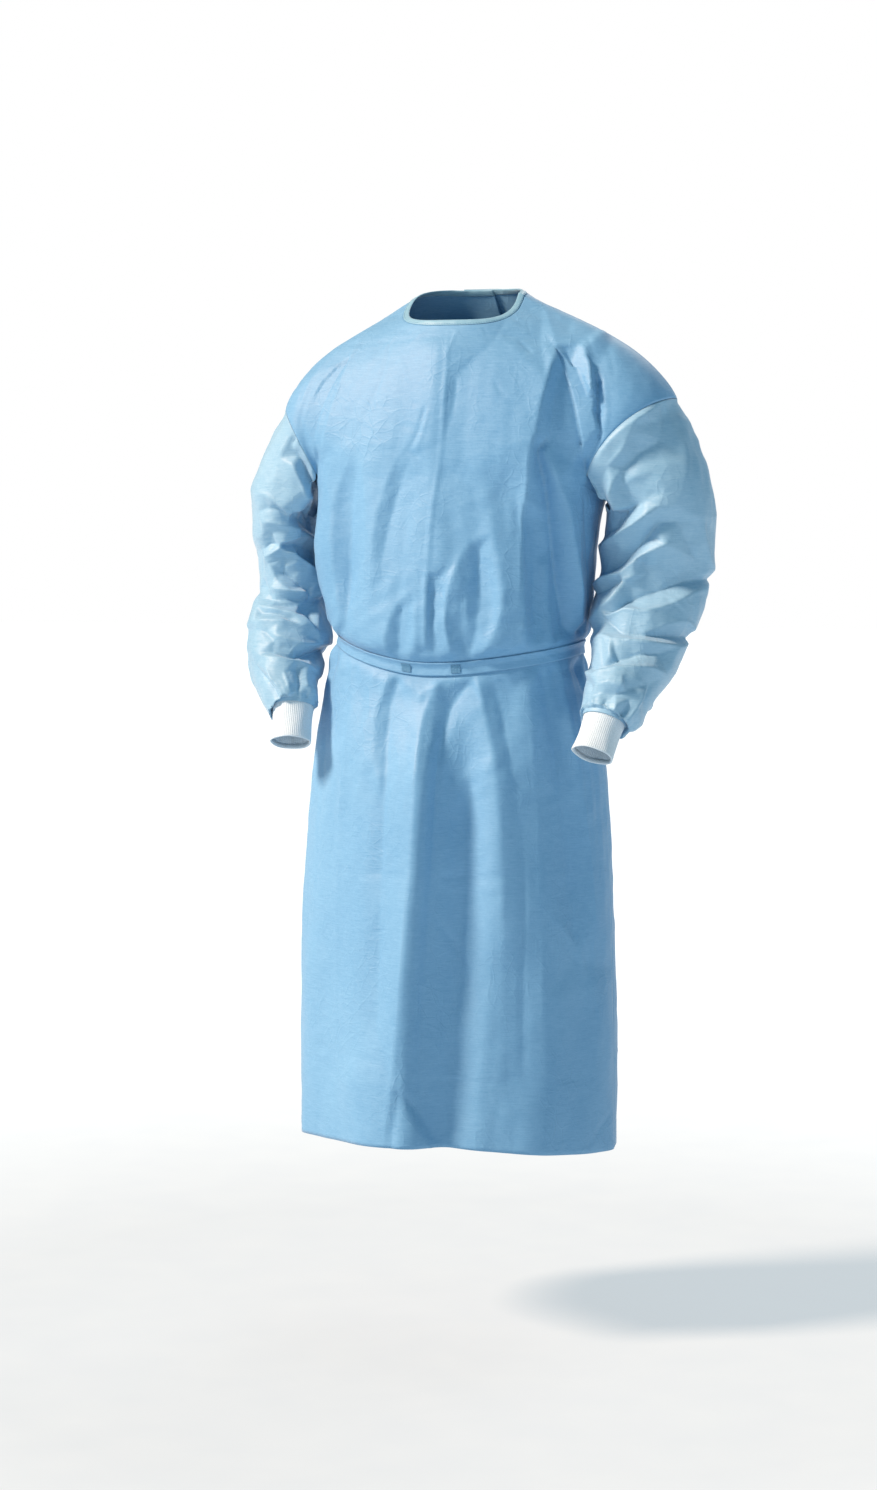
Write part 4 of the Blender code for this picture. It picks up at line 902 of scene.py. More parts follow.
def armhole_loop(side):
    """The armhole seam, over the arm from front to back and then under it, with its normals."""
    sign = 1.0 if side == "left" else -1.0
    turns = sign * np.linspace(ARM_FRONT, ARM_BACK, 2 * ARM_STEPS + 1)
    over, over_normals = shaped(yoke_points, yoke_rows(), turns)
    under, under_normals = shaped(body_points, body_rows(), turns)
    arch = over[-1] + SEAM_GAP * unit(over[-1] - over[-2])
    arch_normals = over_normals[-1].copy()
    pit = under[0] + UNDERARM_SEAM * under_normals[0]
    arch[0], arch[-1] = pit[0], pit[-1]
    return np.concatenate([arch, pit[-2:0:-1]]), arch_normals


def sleeve_frame(side, along):
    """Centre, outward and forward directions and half sizes of the sleeve at one station."""
    at = [along, along + LEVEL_STEP, along - LEVEL_STEP]
    values, ahead, behind = read_smooth(SLEEVES[side], at)
    run = unit(ahead[:3] - behind[:3])
    out = np.array([1.0 if side == "left" else -1.0, 0.0, 0.0])
    out = unit(out - run * np.dot(out, run))
    forward = unit(np.cross(run, out))
    if forward[1] > 0:
        forward = -forward
    return values[:3], run, out, forward, values[3], values[4]


def sleeve_angles(blend):
    """Angle of each sleeve column, 0 outward and 90 forward, from the armhole to an even spread."""
    count = 2 * ARM_STEPS
    seam_over = np.linspace(SLEEVE_SEAM_ANGLE, -SLEEVE_SEAM_ANGLE, count + 1)
    seam_under = np.linspace(-SLEEVE_SEAM_ANGLE, SLEEVE_SEAM_ANGLE - 360.0, count + 1)
    even_over = np.linspace(90.0, -90.0, count + 1)
    even_under = np.linspace(-90.0, -270.0, count + 1)
    seam = np.concatenate([seam_over, seam_under[1:-1]])
    even = np.concatenate([even_over, even_under[1:-1]])
    return seam + (even - seam) * blend


def ellipse(centre, out, forward, across, deep, angles):
    """Points of an oval ring, at angles from its outward direction."""
    angles = np.radians(angles)[:, None]
    return centre + across * np.cos(angles) * out + deep * np.sin(angles) * forward


def sleeve_ring(side, along, first):
    """One ring of the sleeve. first is the armhole seam, which the rings leave smoothly."""
    centre, run, out, forward, across, deep = sleeve_frame(side, along)
    ring = ellipse(centre, out, forward, across, deep, sleeve_angles(ramp(along, 0.0, SLEEVE_EVEN_BY)))
    start, start_run, start_out, start_forward = sleeve_frame(side, 0.0)[:4]
    away = first - start
    carried = centre + (away @ start_out)[:, None] * out + (away @ start_forward)[:, None] * forward
    carried += (away @ start_run)[:, None] * run
    held = 1.0 - ramp(along, 0.0, SLEEVE_SEAM_FADE)
    return held * carried + (1.0 - held) * ring


def cuff_ring(side, drop, grow, angles):
    """One ring of the cuff, drop below its top edge along its axis and grow wider than it."""
    axis = unit(CUFF_AXIS[side])
    centre = np.array(SLEEVES[side][-1][1:4]) + axis * (drop - CUFF_TUCK)
    out = np.array([1.0 if side == "left" else -1.0, 0.0, 0.0])
    out = unit(out - axis * np.dot(out, axis))
    forward = np.cross(axis, out)
    if forward[1] > 0:
        forward = -forward
    return ellipse(centre, out, forward, CUFF_ACROSS + grow, CUFF_DEEP + grow, angles)


def tube_normals(rings):
    """Outward normals of a stack of closed rings."""
    across = np.roll(rings, -1, axis=1) - np.roll(rings, 1, axis=1)
    normal = unit(np.cross(across, np.gradient(rings, axis=0)))
    outward = rings - rings.mean(axis=1, keepdims=True)
    return normal * np.where(np.sum(normal * outward, axis=2, keepdims=True) < 0, -1.0, 1.0)


def grid_faces(rows, count, closed=False, start=0):
    """Quads of a grid of rows by count points, its last column joined to its first if closed."""
    here = start + np.arange(rows * count).reshape(rows, count)
    if closed:
        here = np.concatenate([here, here[:, :1]], axis=1)
    quads = np.stack([here[:-1, :-1], here[:-1, 1:], here[1:, 1:], here[1:, :-1]], axis=-1)
    return quads.reshape(-1, 4)


def camera_axes():
    """The camera's right, up and forward directions."""
    turn, pitch = math.radians(CAMERA_AZIMUTH), math.radians(CAMERA_PITCH)
    level = np.array([-math.sin(turn), math.cos(turn), 0.0])
    forward = level * math.cos(pitch) + np.array([0.0, 0.0, math.sin(pitch)])
    right = np.array([math.cos(turn), math.sin(turn), 0.0])
    return right, np.cross(right, forward), forward


def camera_place():
    turn = math.radians(CAMERA_AZIMUTH)
    return np.array([CAMERA_DISTANCE * math.sin(turn), -CAMERA_DISTANCE * math.cos(turn), CAMERA_HEIGHT])


def photo_places(points):
    """Where points are seen on the photograph, in its pixels."""
    right, up, forward = camera_axes()
    seen = points - camera_place()
    focal = LENS_MM / SENSOR_MM * PHOTO_HEIGHT / (seen @ forward)
    return np.stack([AXIS_PIXEL + focal * (seen @ right), PHOTO_HEIGHT / 2 - focal * (seen @ up)], axis=-1)


def smooth_line(points):
    """Many points on a smooth curve through a few."""
    rows = [(knot, *point) for knot, point in enumerate(points)]
    return read_smooth(rows, np.linspace(0, len(points) - 1, LINE_STEPS * (len(points) - 1) + 1))


def crease_lift(places, points, left, right, lift, sharp, fade):
    """Lift at places on a plane from one crease along a curve through points."""
    line = smooth_line(points)
    total = np.zeros(len(places))
    reach = max(left, right)
    inside = (places > line.min(axis=0) - reach) & (places < line.max(axis=0) + reach)
    near = np.flatnonzero(inside.all(axis=1))
    spots = places[near]
    runs = np.diff(line, axis=0)
    lengths = np.linalg.norm(runs, axis=1)
    begins = np.concatenate([[0.0], np.cumsum(lengths)])
    best = np.full(len(spots), reach * 2.0)
    side, along = np.zeros(len(spots)), np.zeros(len(spots))
    for start, run, length, begin in zip(line[:-1], runs, lengths, begins):
        away = spots - start
        part = np.clip(away @ run / length ** 2, 0.0, 1.0)
        distance = np.linalg.norm(away - part[:, None] * run, axis=1)
        closer = distance < best
        best[closer] = distance[closer]
        side[closer] = (run[0] * away[:, 1] - run[1] * away[:, 0])[closer]
        along[closer] = (begin + part * length)[closer]
    part = np.clip(best / np.where(side > 0, left, right), 0.0, 1.0)
    shape = sharp * (1.0 - part) ** CREASE_POINT + (1.0 - sharp) * (0.5 + 0.5 * np.cos(math.pi * part))
    whole = begins[-1]
    held = ramp(along, 0.0, fade * whole) * (1.0 - ramp(along, whole - fade * whole, whole))
    total[near] = lift * shape * held
    return total


def facing_camera(points, normals):
    """How squarely each point faces the camera: 1 straight at it, 0 edge on."""
    return np.sum(normals * unit(camera_place() - points), axis=1)


def seen_creases(piece, points, normals):
    """Lift in metres from a piece's creases on the photograph, where it faces the camera."""
    places = photo_places(points)
    shown = ramp(facing_camera(points, normals), 0.05, 0.35)
    total = np.zeros(len(points))
    for row in CREASES:
        crease = dict(zip(CREASE_COLUMNS, row))
        if crease["piece"] == piece:
            left, right = (crease[side] / PIXEL_MM for side in ("left_mm", "right_mm"))
            total += crease_lift(places, crease["points"], left, right, crease["lift_mm"] * 0.001,
                                 min(crease["sharp"] + CREASE_SHARPEN, 1.0), crease["fade"])
    return total * shown


def plane_creases(rows, places):
    """Lift in metres from creases given on a plane measured in metres."""
    total = np.zeros(len(places))
    for left, right, lift, sharp, fade, points in rows:
        total += crease_lift(places, points, left * 0.001, right * 0.001, lift * 0.001,
                             min(sharp + CREASE_SHARPEN, 1.0), fade)
    return total


def fold_net(folds):
    """Flat facets between folds on a plane. A fold is a line of points with their lifts."""
    spots, edges = [], []
    for fold in folds:
        edges.extend((len(spots) + step, len(spots) + step + 1) for step in range(len(fold) - 1))
        spots.extend(fold)
    spots = np.array(spots, dtype=float)
    low, high = spots.min(axis=0) - NET_MARGIN, spots.max(axis=0) + NET_MARGIN
    rim = [
        (x, y, 0.0)
        for x in np.linspace(low[0], high[0], NET_RIM)
        for y in np.linspace(low[1], high[1], NET_RIM)
        if x in (low[0], high[0]) or y in (low[1], high[1])
    ]
    spots = np.concatenate([spots, rim])
    corners, _, faces = delaunay_2d_cdt([Vector(spot[:2]) for spot in spots], edges, [], 0, NET_JOIN)[:3]
    facets_of_net = []
    for corner in corners:
        nearest = np.argmin(np.linalg.norm(spots[:, :2] - corner, axis=1))
        facets_of_net.append((corner.x, corner.y, spots[nearest, 2]))
    return BVHTree.FromPolygons(facets_of_net, faces)


def net_lift(net, places, reach):
    """Lift in metres of a net at places on its plane, its folds rounded over reach."""
    total = np.zeros(len(places))
    for index, (x, y) in enumerate(places):
        for step_x, step_y in NET_ROUNDING:
            above = Vector((x + reach * step_x, y + reach * step_y, NET_TOP))
            hit = net.ray_cast(above, Vector((0.0, 0.0, -1.0)))[0]
            total[index] += hit.z if hit else 0.0
    return total * 0.001 / len(NET_ROUNDING)


def fold_lines(folds, places, kind):
    """Lift of the fine lines pressed along folds: grooves in hollows, ridges on crests."""
    half, rise = FOLD_LINE[kind]
    total = np.zeros(len(places))
    for fold in folds:
        spots = np.array(fold, dtype=float)
        sign = 1.0 if spots[:, 2].mean() > 0 else -1.0
        total += crease_lift(places, spots[:, :2], half, half, sign * rise, 1.0, 0.15)
    return np.clip(total, -rise, rise)


def back_creases(points, normals):
    """Lift of the creases on the back, the same for both of its lapped panels."""
    faces_back = ramp(normals[:, 1], 0.1, 0.5)
    return BACK_GAIN * plane_creases(BACK_CREASES, points[:, [0, 2]]) * faces_back


def small_creases(points, normals, count, seed):
    """Lift of many short creases left by handling, set by a fixed seed."""
    chance = np.random.default_rng(seed)
    total = np.zeros(len(points))
    for index in chance.integers(len(points), size=count):
        centre = points[index]
        direction = chance.normal(size=3) * CREASE_LEAN
        direction = unit(direction - normals[index] * np.dot(direction, normals[index]))
        half = chance.uniform(*SMALL_LENGTH) / 2
        width = chance.uniform(*SMALL_WIDTH)
        lift = chance.choice([-1.0, 1.0]) * chance.uniform(*SMALL_LIFT)
        away = points - centre
        near = np.flatnonzero(np.abs(away).max(axis=1) < half + width)
        away = away[near]
        along = np.clip(away @ direction, -half, half)
        distance = np.linalg.norm(away - along[:, None] * direction, axis=1)
        part = np.clip(distance / width, 0.0, 1.0)
        total[near] += lift * (1.0 - part) ** 1.4 * (1.0 - (along / half) ** 2)
    return total


def waves(points, seed):
    """Broad, shallow waves in all directions."""
    chance = np.random.default_rng(seed)
    total = np.zeros(len(points))
    for length in WAVE_LENGTHS:
        direction = unit(chance.normal(size=3) * WAVE_LEAN)
        start = chance.uniform(0.0, 2.0 * math.pi)
        total += WAVE_HEIGHT * np.sin(points @ direction * 2.0 * math.pi / length + start)
    return total


def facets(points, kind, seed):
    """Lift of flat facets with crisp edges between them, as stiff cloth takes."""
    chance = np.random.default_rng(seed)
    size, height, lean = FACETS[kind]
    total = np.zeros(len(points))
    for _ in range(FACET_SETS):
        direction = unit(chance.normal(size=3) * lean)
        length = size * chance.uniform(0.7, 1.5)
        cross, begin, fade_begin = unit(chance.normal(size=3)), chance.uniform(0, 6), chance.uniform(0, 6)
        bend = FACET_BEND * np.sin(points @ cross * 2.0 / length + begin)
        phase = points @ direction / length + bend
        edges = 4.0 * np.abs(phase - np.floor(phase + 0.5)) - 1.0
        strength = 0.6 + 0.4 * np.sin(points @ cross * 1.3 / length + fade_begin)
        total += height * edges * strength
    return total


def belt_gathers(turns, heights, belt_heights):
    """Lift of the gathers above and below the belt."""
    total = np.zeros(len(turns))
    for row in GATHERS:
        gather = dict(zip(GATHER_COLUMNS, row))
        lean = (heights - belt_heights) * GATHER_LEAN * math.sin(gather["turn"] * 7.0)
        part = np.clip(np.abs(wrap(turns - gather["turn"] - lean)) / gather["width"], 0.0, 1.0)
        shape = 0.5 + 0.5 * np.cos(math.pi * part)
        reach = np.where(heights > belt_heights, gather["above_mm"], gather["below_mm"]) * 0.001
        away = np.abs(heights - belt_heights) - BELT_WIDTH / 2
        held = 1.0 - ramp(away, 0.2 * reach, reach)
        total += gather["lift_mm"] * 0.001 * shape * held
    return total


def distance_to(points, line):
    """Distance from each point to the nearest of a line's points."""
    best = np.full(len(points), np.inf)
    for spot in line:
        best = np.minimum(best, np.linalg.norm(points - spot, axis=1))
    return best


def groove(distance):
    """Lift of a seam's groove, at a distance from it."""
    return -SEAM_DEPTH * np.exp(-(distance / SEAM_REACH) ** 2)


def mesh_object(name, points, faces, finish, thickness=None):
    """A smooth object from points and faces, thickened if thickness is given."""
    mesh = bpy.data.meshes.new(name)
    mesh.from_pydata(np.asarray(points).tolist(), [], [tuple(face) for face in faces])
    mesh.validate()
    mesh.shade_smooth()
    mesh.materials.append(finish)
    made = bpy.data.objects.new(name, mesh)
    bpy.context.scene.collection.objects.link(made)
    if thickness:
        wall = made.modifiers.new("thickness", "SOLIDIFY")
        wall.thickness = thickness
        wall.offset = 0.0
    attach(made, "root")
    return made


def panel_grid(turns, seams):
    """Points, normals, turns and faces of a body panel, and the lines of its side seams."""
    yoke, yoke_normals = shaped(yoke_points, yoke_rows(), turns)
    body, body_normals = shaped(body_points, body_rows(), turns)
    shared = ~over_arm(turns)
    joined = unit(yoke_normals[-1] + body_normals[0])
    yoke_normals[-1, shared] = joined[shared]
    body_normals[0, shared] = joined[shared]
    yoke[-1, shared] = body[0, shared]
    apart = over_arm(turns)
    yoke[-1, apart] += SEAM_GAP * unit(yoke[-2, apart] - yoke[-1, apart])
    lines = []
    for seam in seams:
        at = {"first": 0, "last": -1}[seam]
        lines.append(np.concatenate([yoke[:, at], body[:, at]]))
        seam_shift(yoke, yoke_normals, seam, SEAM_GAP / 2)
        seam_shift(body, body_normals, seam, SEAM_GAP / 2)
    count = len(turns)
    split = len(yoke) * count
    points = np.concatenate([yoke.reshape(-1, 3), body.reshape(-1, 3)])
    normals = np.concatenate([yoke_normals.reshape(-1, 3), body_normals.reshape(-1, 3)])
    every_turn = np.tile(turns, len(yoke) + len(body))
    faces = np.concatenate([grid_faces(len(yoke), count), grid_faces(len(body), count, start=split)])
    same = np.arange(len(points))
    column = np.flatnonzero(shared)
    same[split + column] = split - count + column
    faces = same[faces]
    used, place = np.unique(faces, return_inverse=True)
    faces = place.reshape(faces.shape)
    return points[used], normals[used], every_turn[used], faces, lines


def panel_lift(name, points, normals, turns, lines):
    """Lift of a panel's creases, held flat at its seams, the neck, the belt and the lap."""
    held = ramp(distance_to(points, binding_points(columns("front"), BINDING_HEIGHT)), 0.0, HOLD_SEAM)
    if name != "front":
        rear = binding_points(columns("left" if "left" in name else "right", BACK_LAP), BINDING_HEIGHT)
        held *= ramp(distance_to(points, rear), 0.0, HOLD_SEAM)
    near_seam = np.full(len(points), np.inf)
    for line in lines:
        near_seam = np.minimum(near_seam, distance_to(points, line))
    for side in ("left", "right"):
        near_seam = np.minimum(near_seam, distance_to(points, armhole_loop(side)[0]))
    held *= ramp(near_seam, 0.0, HOLD_SEAM)
    belt_heights = height_round(BELT_Z, turns)
    from_belt = np.abs(points[:, 2] - belt_heights)
    held *= ramp(from_belt, BELT_WIDTH / 2 + SEAM_GAP, BELT_WIDTH / 2 + HOLD_BELT)
    alone = held * (1.0 - ramp(np.abs(turns), LAP_START - LAP_EASE, LAP_START))
    count = SMALL_COUNT["front" if name == "front" else "back"]
    lift = alone * small_creases(points, normals, count, SEEDS[name])
    lift += held * waves(points, SEEDS["waves"])
    strength = np.interp(points[:, 2], *np.array(FACET_STRENGTH).T)
    lift += held * strength * facets(points, "body", SEEDS["facets"])
    lift += held * strength * facets(points, "fine", SEEDS["fine"])
    past_belt = from_belt - BELT_WIDTH / 2
    bulge = ramp(past_belt, SEAM_GAP, BELT_BULGE_START)
    lift += BELT_BULGE * bulge * (1.0 - ramp(past_belt, BELT_BULGE_START, BELT_BULGE_REACH))
    lift += held * belt_gathers(turns, points[:, 2], belt_heights)
    lift += held * seen_creases(name, points, normals)
    if name == "front":
        shown = ramp(facing_camera(points, normals), *SHOWN_PART["front"])
        on_photo = photo_places(points)
        lift += held * shown * FOLD_GAIN["front"] * net_lift(fold_net(FRONT_FOLDS), on_photo, NET_ROUND)
        lift += held * shown * fold_lines(FRONT_FOLDS, on_photo, "front")
    if name != "front":
        lift += held * back_creases(points, normals)
    hem = height_round(HEM_Z, turns)
    at_hem = 1.0 - ramp(points[:, 2], hem, hem + HEM_WAVE_RISE)
    lift += HEM_WAVE * at_hem * np.sin(np.radians(turns) * HEM_WAVES + np.sin(np.radians(turns) * 5.0))
    return lift + groove(near_seam)


def outer_hull(across, out):
    """The corners of a taut line over points in a plane."""
    kept = []
    for spot in sorted(zip(across, out)):
        while len(kept) > 1:
            (first_x, first_y), (last_x, last_y) = kept[-2:]
            turn = (last_x - first_x) * (spot[1] - first_y) - (last_y - first_y) * (spot[0] - first_x)
            if turn < 0:
                break
            kept.pop()
        kept.append(spot)
    return np.array(kept).T


def span_hollows(points, seam_lines, facing):
    """Points moved out where taut cloth spans the hollow at a shoulder. facing is -1 for the front."""
    out = points[:, 1] * facing
    low, high = SPAN_HEIGHTS
    levels = np.arange(low, high, SPAN_STEP)
    taut = []
    for level in levels:
        near = np.abs(points[:, 2] - level) < SPAN_STEP / 2
        taut.append(np.interp(points[:, 0], *outer_hull(points[near, 0], out[near])))
    part = np.clip((points[:, 2] - low) / SPAN_STEP, 0.0, len(levels) - 1.001)
    below = part.astype(int)
    mix = part - below
    every = np.arange(len(points))
    taut = np.array(taut)
    hollow = taut[below, every] * (1.0 - mix) + taut[below + 1, every] * mix - out - SPAN_SLACK
    held = ramp(points[:, 2], *SPAN_RISE) * (1.0 - ramp(points[:, 2], high - SPAN_HOLD, high))
    held *= ramp(out, *SPAN_OUT) * ramp(np.abs(points[:, 0]), *SPAN_MIDDLE)
    for line in seam_lines:
        held *= ramp(distance_to(points, line), 0.0, SPAN_HOLD)
    moved = points.copy()
    moved[:, 1] += facing * SPAN_SHARE * held * np.clip(hollow, 0.0, SPAN_MOST)
    return moved


def face_normals(points, faces, like):
    """A normal at each point from the faces round it, on the same side as like."""
    corners = points[faces]
    cross = np.cross(corners[:, 2] - corners[:, 0], corners[:, 3] - corners[:, 1])
    total = np.zeros_like(points)
    for corner in range(4):
        np.add.at(total, faces[:, corner], cross)
    return unit(total * np.sign(np.sum(total * like, axis=1))[:, None])


def cloth_panel(name, turns, seams, finish):
    """One body panel as fine cloth."""
    points, normals, every_turn, faces, lines = panel_grid(turns, seams)
    armholes = [armhole_loop(side)[0] for side in ("left", "right")]
    points = span_hollows(points, lines + armholes, -1.0 if name == "front" else 1.0)
    normals = face_normals(points, faces, normals)
    lift = panel_lift(name, points, normals, every_turn, lines)
    made = mesh_object(f"{name}_cloth", points + normals * lift[:, None], faces, finish,
                       CLOTH_THICKNESS)
    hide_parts(name)
    return made


def sleeve_rings(side):
    """The rings of a sleeve from its armhole seam to its cuff, with their normals."""
    first, arch_normals = armhole_loop(side)
    stations = np.linspace(0.0, 1.0, SLEEVE_ROWS + 1)
    rings = [first] + [sleeve_ring(side, along, first) for along in stations[1:]]
    snug = CUFF_WALL / 2 + SEAM_GAP + CLOTH_THICKNESS
    last = np.array(rings[-1])
    narrow = cuff_ring(side, CUFF_TUCK * SLEEVE_NARROWS, snug + SLEEVE_SPARE, sleeve_angles(1.0))
    end = cuff_ring(side, CUFF_TUCK, snug, sleeve_angles(1.0))
    for part in np.linspace(0.0, 1.0, CLOSING_ROWS + 1)[1:]:
        rings.append(last + (narrow - last) * part)
    for part in np.linspace(0.0, 1.0, CLOSING_ROWS + 1)[1:]:
        rings.append(narrow + (end - narrow) * part)
    rings = np.array(rings)
    normals = tube_normals(rings)
    normals[0, 1:len(arch_normals) - 1] = arch_normals[1:-1]
    return rings, normals


def cloth_sleeve(side, finish):
    """One sleeve as fine cloth."""
    rings, normals = sleeve_rings(side)
    rows, count = rings.shape[:2]
    points, flat_normals = rings.reshape(-1, 3), normals.reshape(-1, 3)
    steps = np.linalg.norm(np.diff(rings, axis=0), axis=2).mean(axis=1)
    down = np.concatenate([[0.0], np.cumsum(steps)])
    along = np.repeat(down / down[-1], count)
    angles = np.tile(wrap(sleeve_angles(1.0)), rows)
    from_cuff = down[-1] - np.repeat(down, count)
    from_seam = distance_to(points, rings[0])
    held = ramp(from_seam, 0.0, HOLD_SLEEVE_SEAM) * ramp(from_cuff, 0.004, 0.020)
    name = f"sleeve_{side}"
    lift = held * small_creases(points, flat_normals, SMALL_COUNT["sleeve"], SEEDS[name])
    lift += held * facets(points, "sleeve", SEEDS[name])
    lift += held * facets(points, "fine", SEEDS["fine"])
    shown = ramp(facing_camera(points, flat_normals), *SHOWN_PART["sleeve"])
    on_photo = photo_places(points)
    seen = FOLD_GAIN["sleeve"] * net_lift(fold_net(SLEEVE_FOLDS[side]), on_photo, NET_ROUND)
    seen += fold_lines(SLEEVE_FOLDS[side], on_photo, "sleeve")
    per_degree, per_length = math.radians(1.0) * SLEEVE_RADIUS * 1000, SLEEVE_LENGTH * 1000
    hidden_folds = [[(angle * per_degree, part * per_length, rise) for angle, part, rise in fold]
                    for fold in HIDDEN_FOLDS[side]]
    places = np.stack([angles * per_degree, along * per_length], axis=-1)
    hidden = FOLD_GAIN["sleeve"] * net_lift(fold_net(hidden_folds), places, NET_ROUND)
    hidden += fold_lines(hidden_folds, places, "sleeve")
    lift += held * (shown * seen + (1.0 - shown) * hidden)
    for row in TUCKS:
        tuck = dict(zip(TUCK_COLUMNS, row))
        part = np.clip(np.abs(wrap(angles - tuck["angle"])) / tuck["width"], 0.0, 1.0)
        strength = ramp(from_cuff, 0.003, 0.012) * (1.0 - ramp(from_cuff, 0.015, TUCK_REACH))
        lift += tuck["lift_mm"] * 0.001 * (0.5 + 0.5 * np.cos(math.pi * part)) * strength
    lift += groove(from_seam)
    made = mesh_object(f"{name}_cloth", points + flat_normals * lift[:, None],
                       grid_faces(rows, count, closed=True), finish, CLOTH_THICKNESS)
    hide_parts(name)
    return made


def knit_cuff(side, finish):
    """One cuff of ribbed knit, with a turned lower edge."""
    angles = np.linspace(0.0, 360.0, RIBS * RIB_POINTS, endpoint=False)
    rib = RIB_HEIGHT * np.abs(np.cos(np.radians(angles) * RIBS / 2)) ** RIB_ROUND
    drops = np.linspace(0.0, CUFF_LENGTH, CUFF_ROWS)
    rings = []
    for drop in drops:
        below = max(drop - CUFF_TUCK, 0.0) / (CUFF_LENGTH - CUFF_TUCK)
        waist = -CUFF_WAIST * math.sin(math.pi * below)
        sway = CUFF_SWAY * np.sin(np.radians(angles) * CUFF_SWAYS + drop * CUFF_SWAY_TURN) * below
        twist = CUFF_TWIST * math.sin(drop * CUFF_TWIST_TURN) + below * CUFF_LEAN
        ring = cuff_ring(side, drop, waist, angles + twist)
        outward = unit(ring - ring.mean(axis=0))
        rings.append(ring + outward * (rib + sway)[:, None])
    turned = rings[-1]
    outward = unit(turned - turned.mean(axis=0))
    axis = unit(CUFF_AXIS[side])
    for inward, on in CUFF_TURNED:
        rings.append(turned - outward * inward + axis * on)
    rings = np.array(rings)
    made = mesh_object(f"cuff_{side}_knit", rings.reshape(-1, 3),
                       grid_faces(len(rings), len(angles), closed=True), finish, KNIT_THICKNESS)
    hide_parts(f"cuff_{side}")
    return made


def binding_points(turns, drop):
    """Points of the neck binding, drop below its top edge."""
    return neck_points(turns) + drop * neck_slopes(turns)


def binding_turns():
    rear = columns("left", BACK_LAP)[1:]
    return np.concatenate([-rear[::-1], columns("front"), rear])


def binding_frame(turns):
    """Top edge, downward direction and outward normal of the neck binding."""
    grid = shaped(binding_points, [(0.0,), (BINDING_HEIGHT,)], turns)[0]
    normals = shaped(yoke_points, yoke_rows(), turns)[1][0]
    return grid[0], unit(grid[1] - grid[0]), normals


def neck_binding(finish):
    """The band folded over the neck edge."""
    turns = binding_turns()
    top, down, outward = binding_frame(turns)
    chance = np.random.default_rng(SEEDS["binding"])
    pucker = np.convolve(chance.normal(size=len(turns)), np.ones(3) / 3, mode="same") * PUCKER
    rings = []
    for drop, out in BINDING_SECTION:
        swell = out * (1.0 + pucker * (1.0 if abs(drop) > 1.0 else 0.0))
        rings.append(top + down * drop * 0.001 + outward * (swell * 0.001)[:, None])
    rings = np.array(rings)
    rows, count = rings.shape[:2]
    faces = grid_faces(count, rows, closed=True).tolist()
    faces.append(list(range(rows))[::-1])
    faces.append(list(range((count - 1) * rows, count * rows)))
    points = rings.transpose(1, 0, 2).reshape(-1, 3)
    made = mesh_object("neck_binding_band", points, faces, finish)
    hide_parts("neck_binding")
    return made


def stitches(name, path, outward, length, gap, radius, finish):
    """A row of thread stitches lying on a path, which are rounded and pointed at their ends."""
    steps = np.linalg.norm(np.diff(path, axis=0), axis=1)
    begins = np.concatenate([[0.0], np.cumsum(steps)])
    points, faces = [], []
    sides = 6
    around = np.arange(sides) * 2.0 * math.pi / sides
    for start in np.arange(0.0, begins[-1] - length, length + gap):
        at = start + np.array([0.0, 0.12, 0.5, 0.88, 1.0]) * length
        centre = np.stack([np.interp(at, begins, path[:, axis]) for axis in range(3)], axis=1)
        out = unit(np.stack([np.interp(at, begins, outward[:, axis]) for axis in range(3)], axis=1))
        run = unit(centre[-1] - centre[0])
        across = unit(np.cross(run, out))
        sink = np.array([-0.6, 0.1, 0.5, 0.1, -0.6])[:, None] * radius
        size = np.array([0.45, 0.9, 1.0, 0.9, 0.45]) * radius
        base = len(points) * sides * 5
        rings = [centre[k] + out[k] * sink[k] + size[k] * (np.cos(around)[:, None] * across[k]
                                                         + np.sin(around)[:, None] * out[k])
                 for k in range(5)]
        points.append(np.concatenate(rings))
        faces.extend(grid_faces(5, sides, closed=True, start=base).tolist())
        faces.append([base + k for k in range(sides)][::-1])
        faces.append([base + 4 * sides + k for k in range(sides)])
    return mesh_object(name, np.concatenate(points), faces, finish)


def belt_grid(turns, rows):
    """Rows of the body under the belt, moved out, and over the lap at the back."""
    return shaped(body_points, rows, turns, BELT_LIFT, over_the_lap)


def strap_lines(across):
    """Lift of a folded strap's pressed lines, across its width from 0 to 1."""
    lines = [lift_mm * np.exp(-((across - place) / width) ** 2) for place, width, lift_mm in STRAP_LINES]
    return 0.001 * sum(lines)


def waist_belt(finish):
    """The strap round the waist."""
    turns = np.concatenate([columns("front"), columns("left")[1:], columns("right")[-2:0:-1]])
    across = np.linspace(0.0, 1.0, STRAP_ROWS)
    rows = [(1.0, BELT_WIDTH * (0.5 - part)) for part in across]
    grid, normals = belt_grid(turns, rows)
    points, flat_normals = grid.reshape(-1, 3), normals.reshape(-1, 3)
    lift = np.repeat(strap_lines(across), len(turns))
    lift += np.clip(small_creases(points, flat_normals, SMALL_COUNT["belt"], SEEDS["belt"]), -0.0005, 0.0006)
    made = mesh_object("belt_strap", points + flat_normals * lift[:, None],
                       grid_faces(len(rows), len(turns), closed=True), finish, STRAP_THICKNESS)
    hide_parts("belt")
    return made


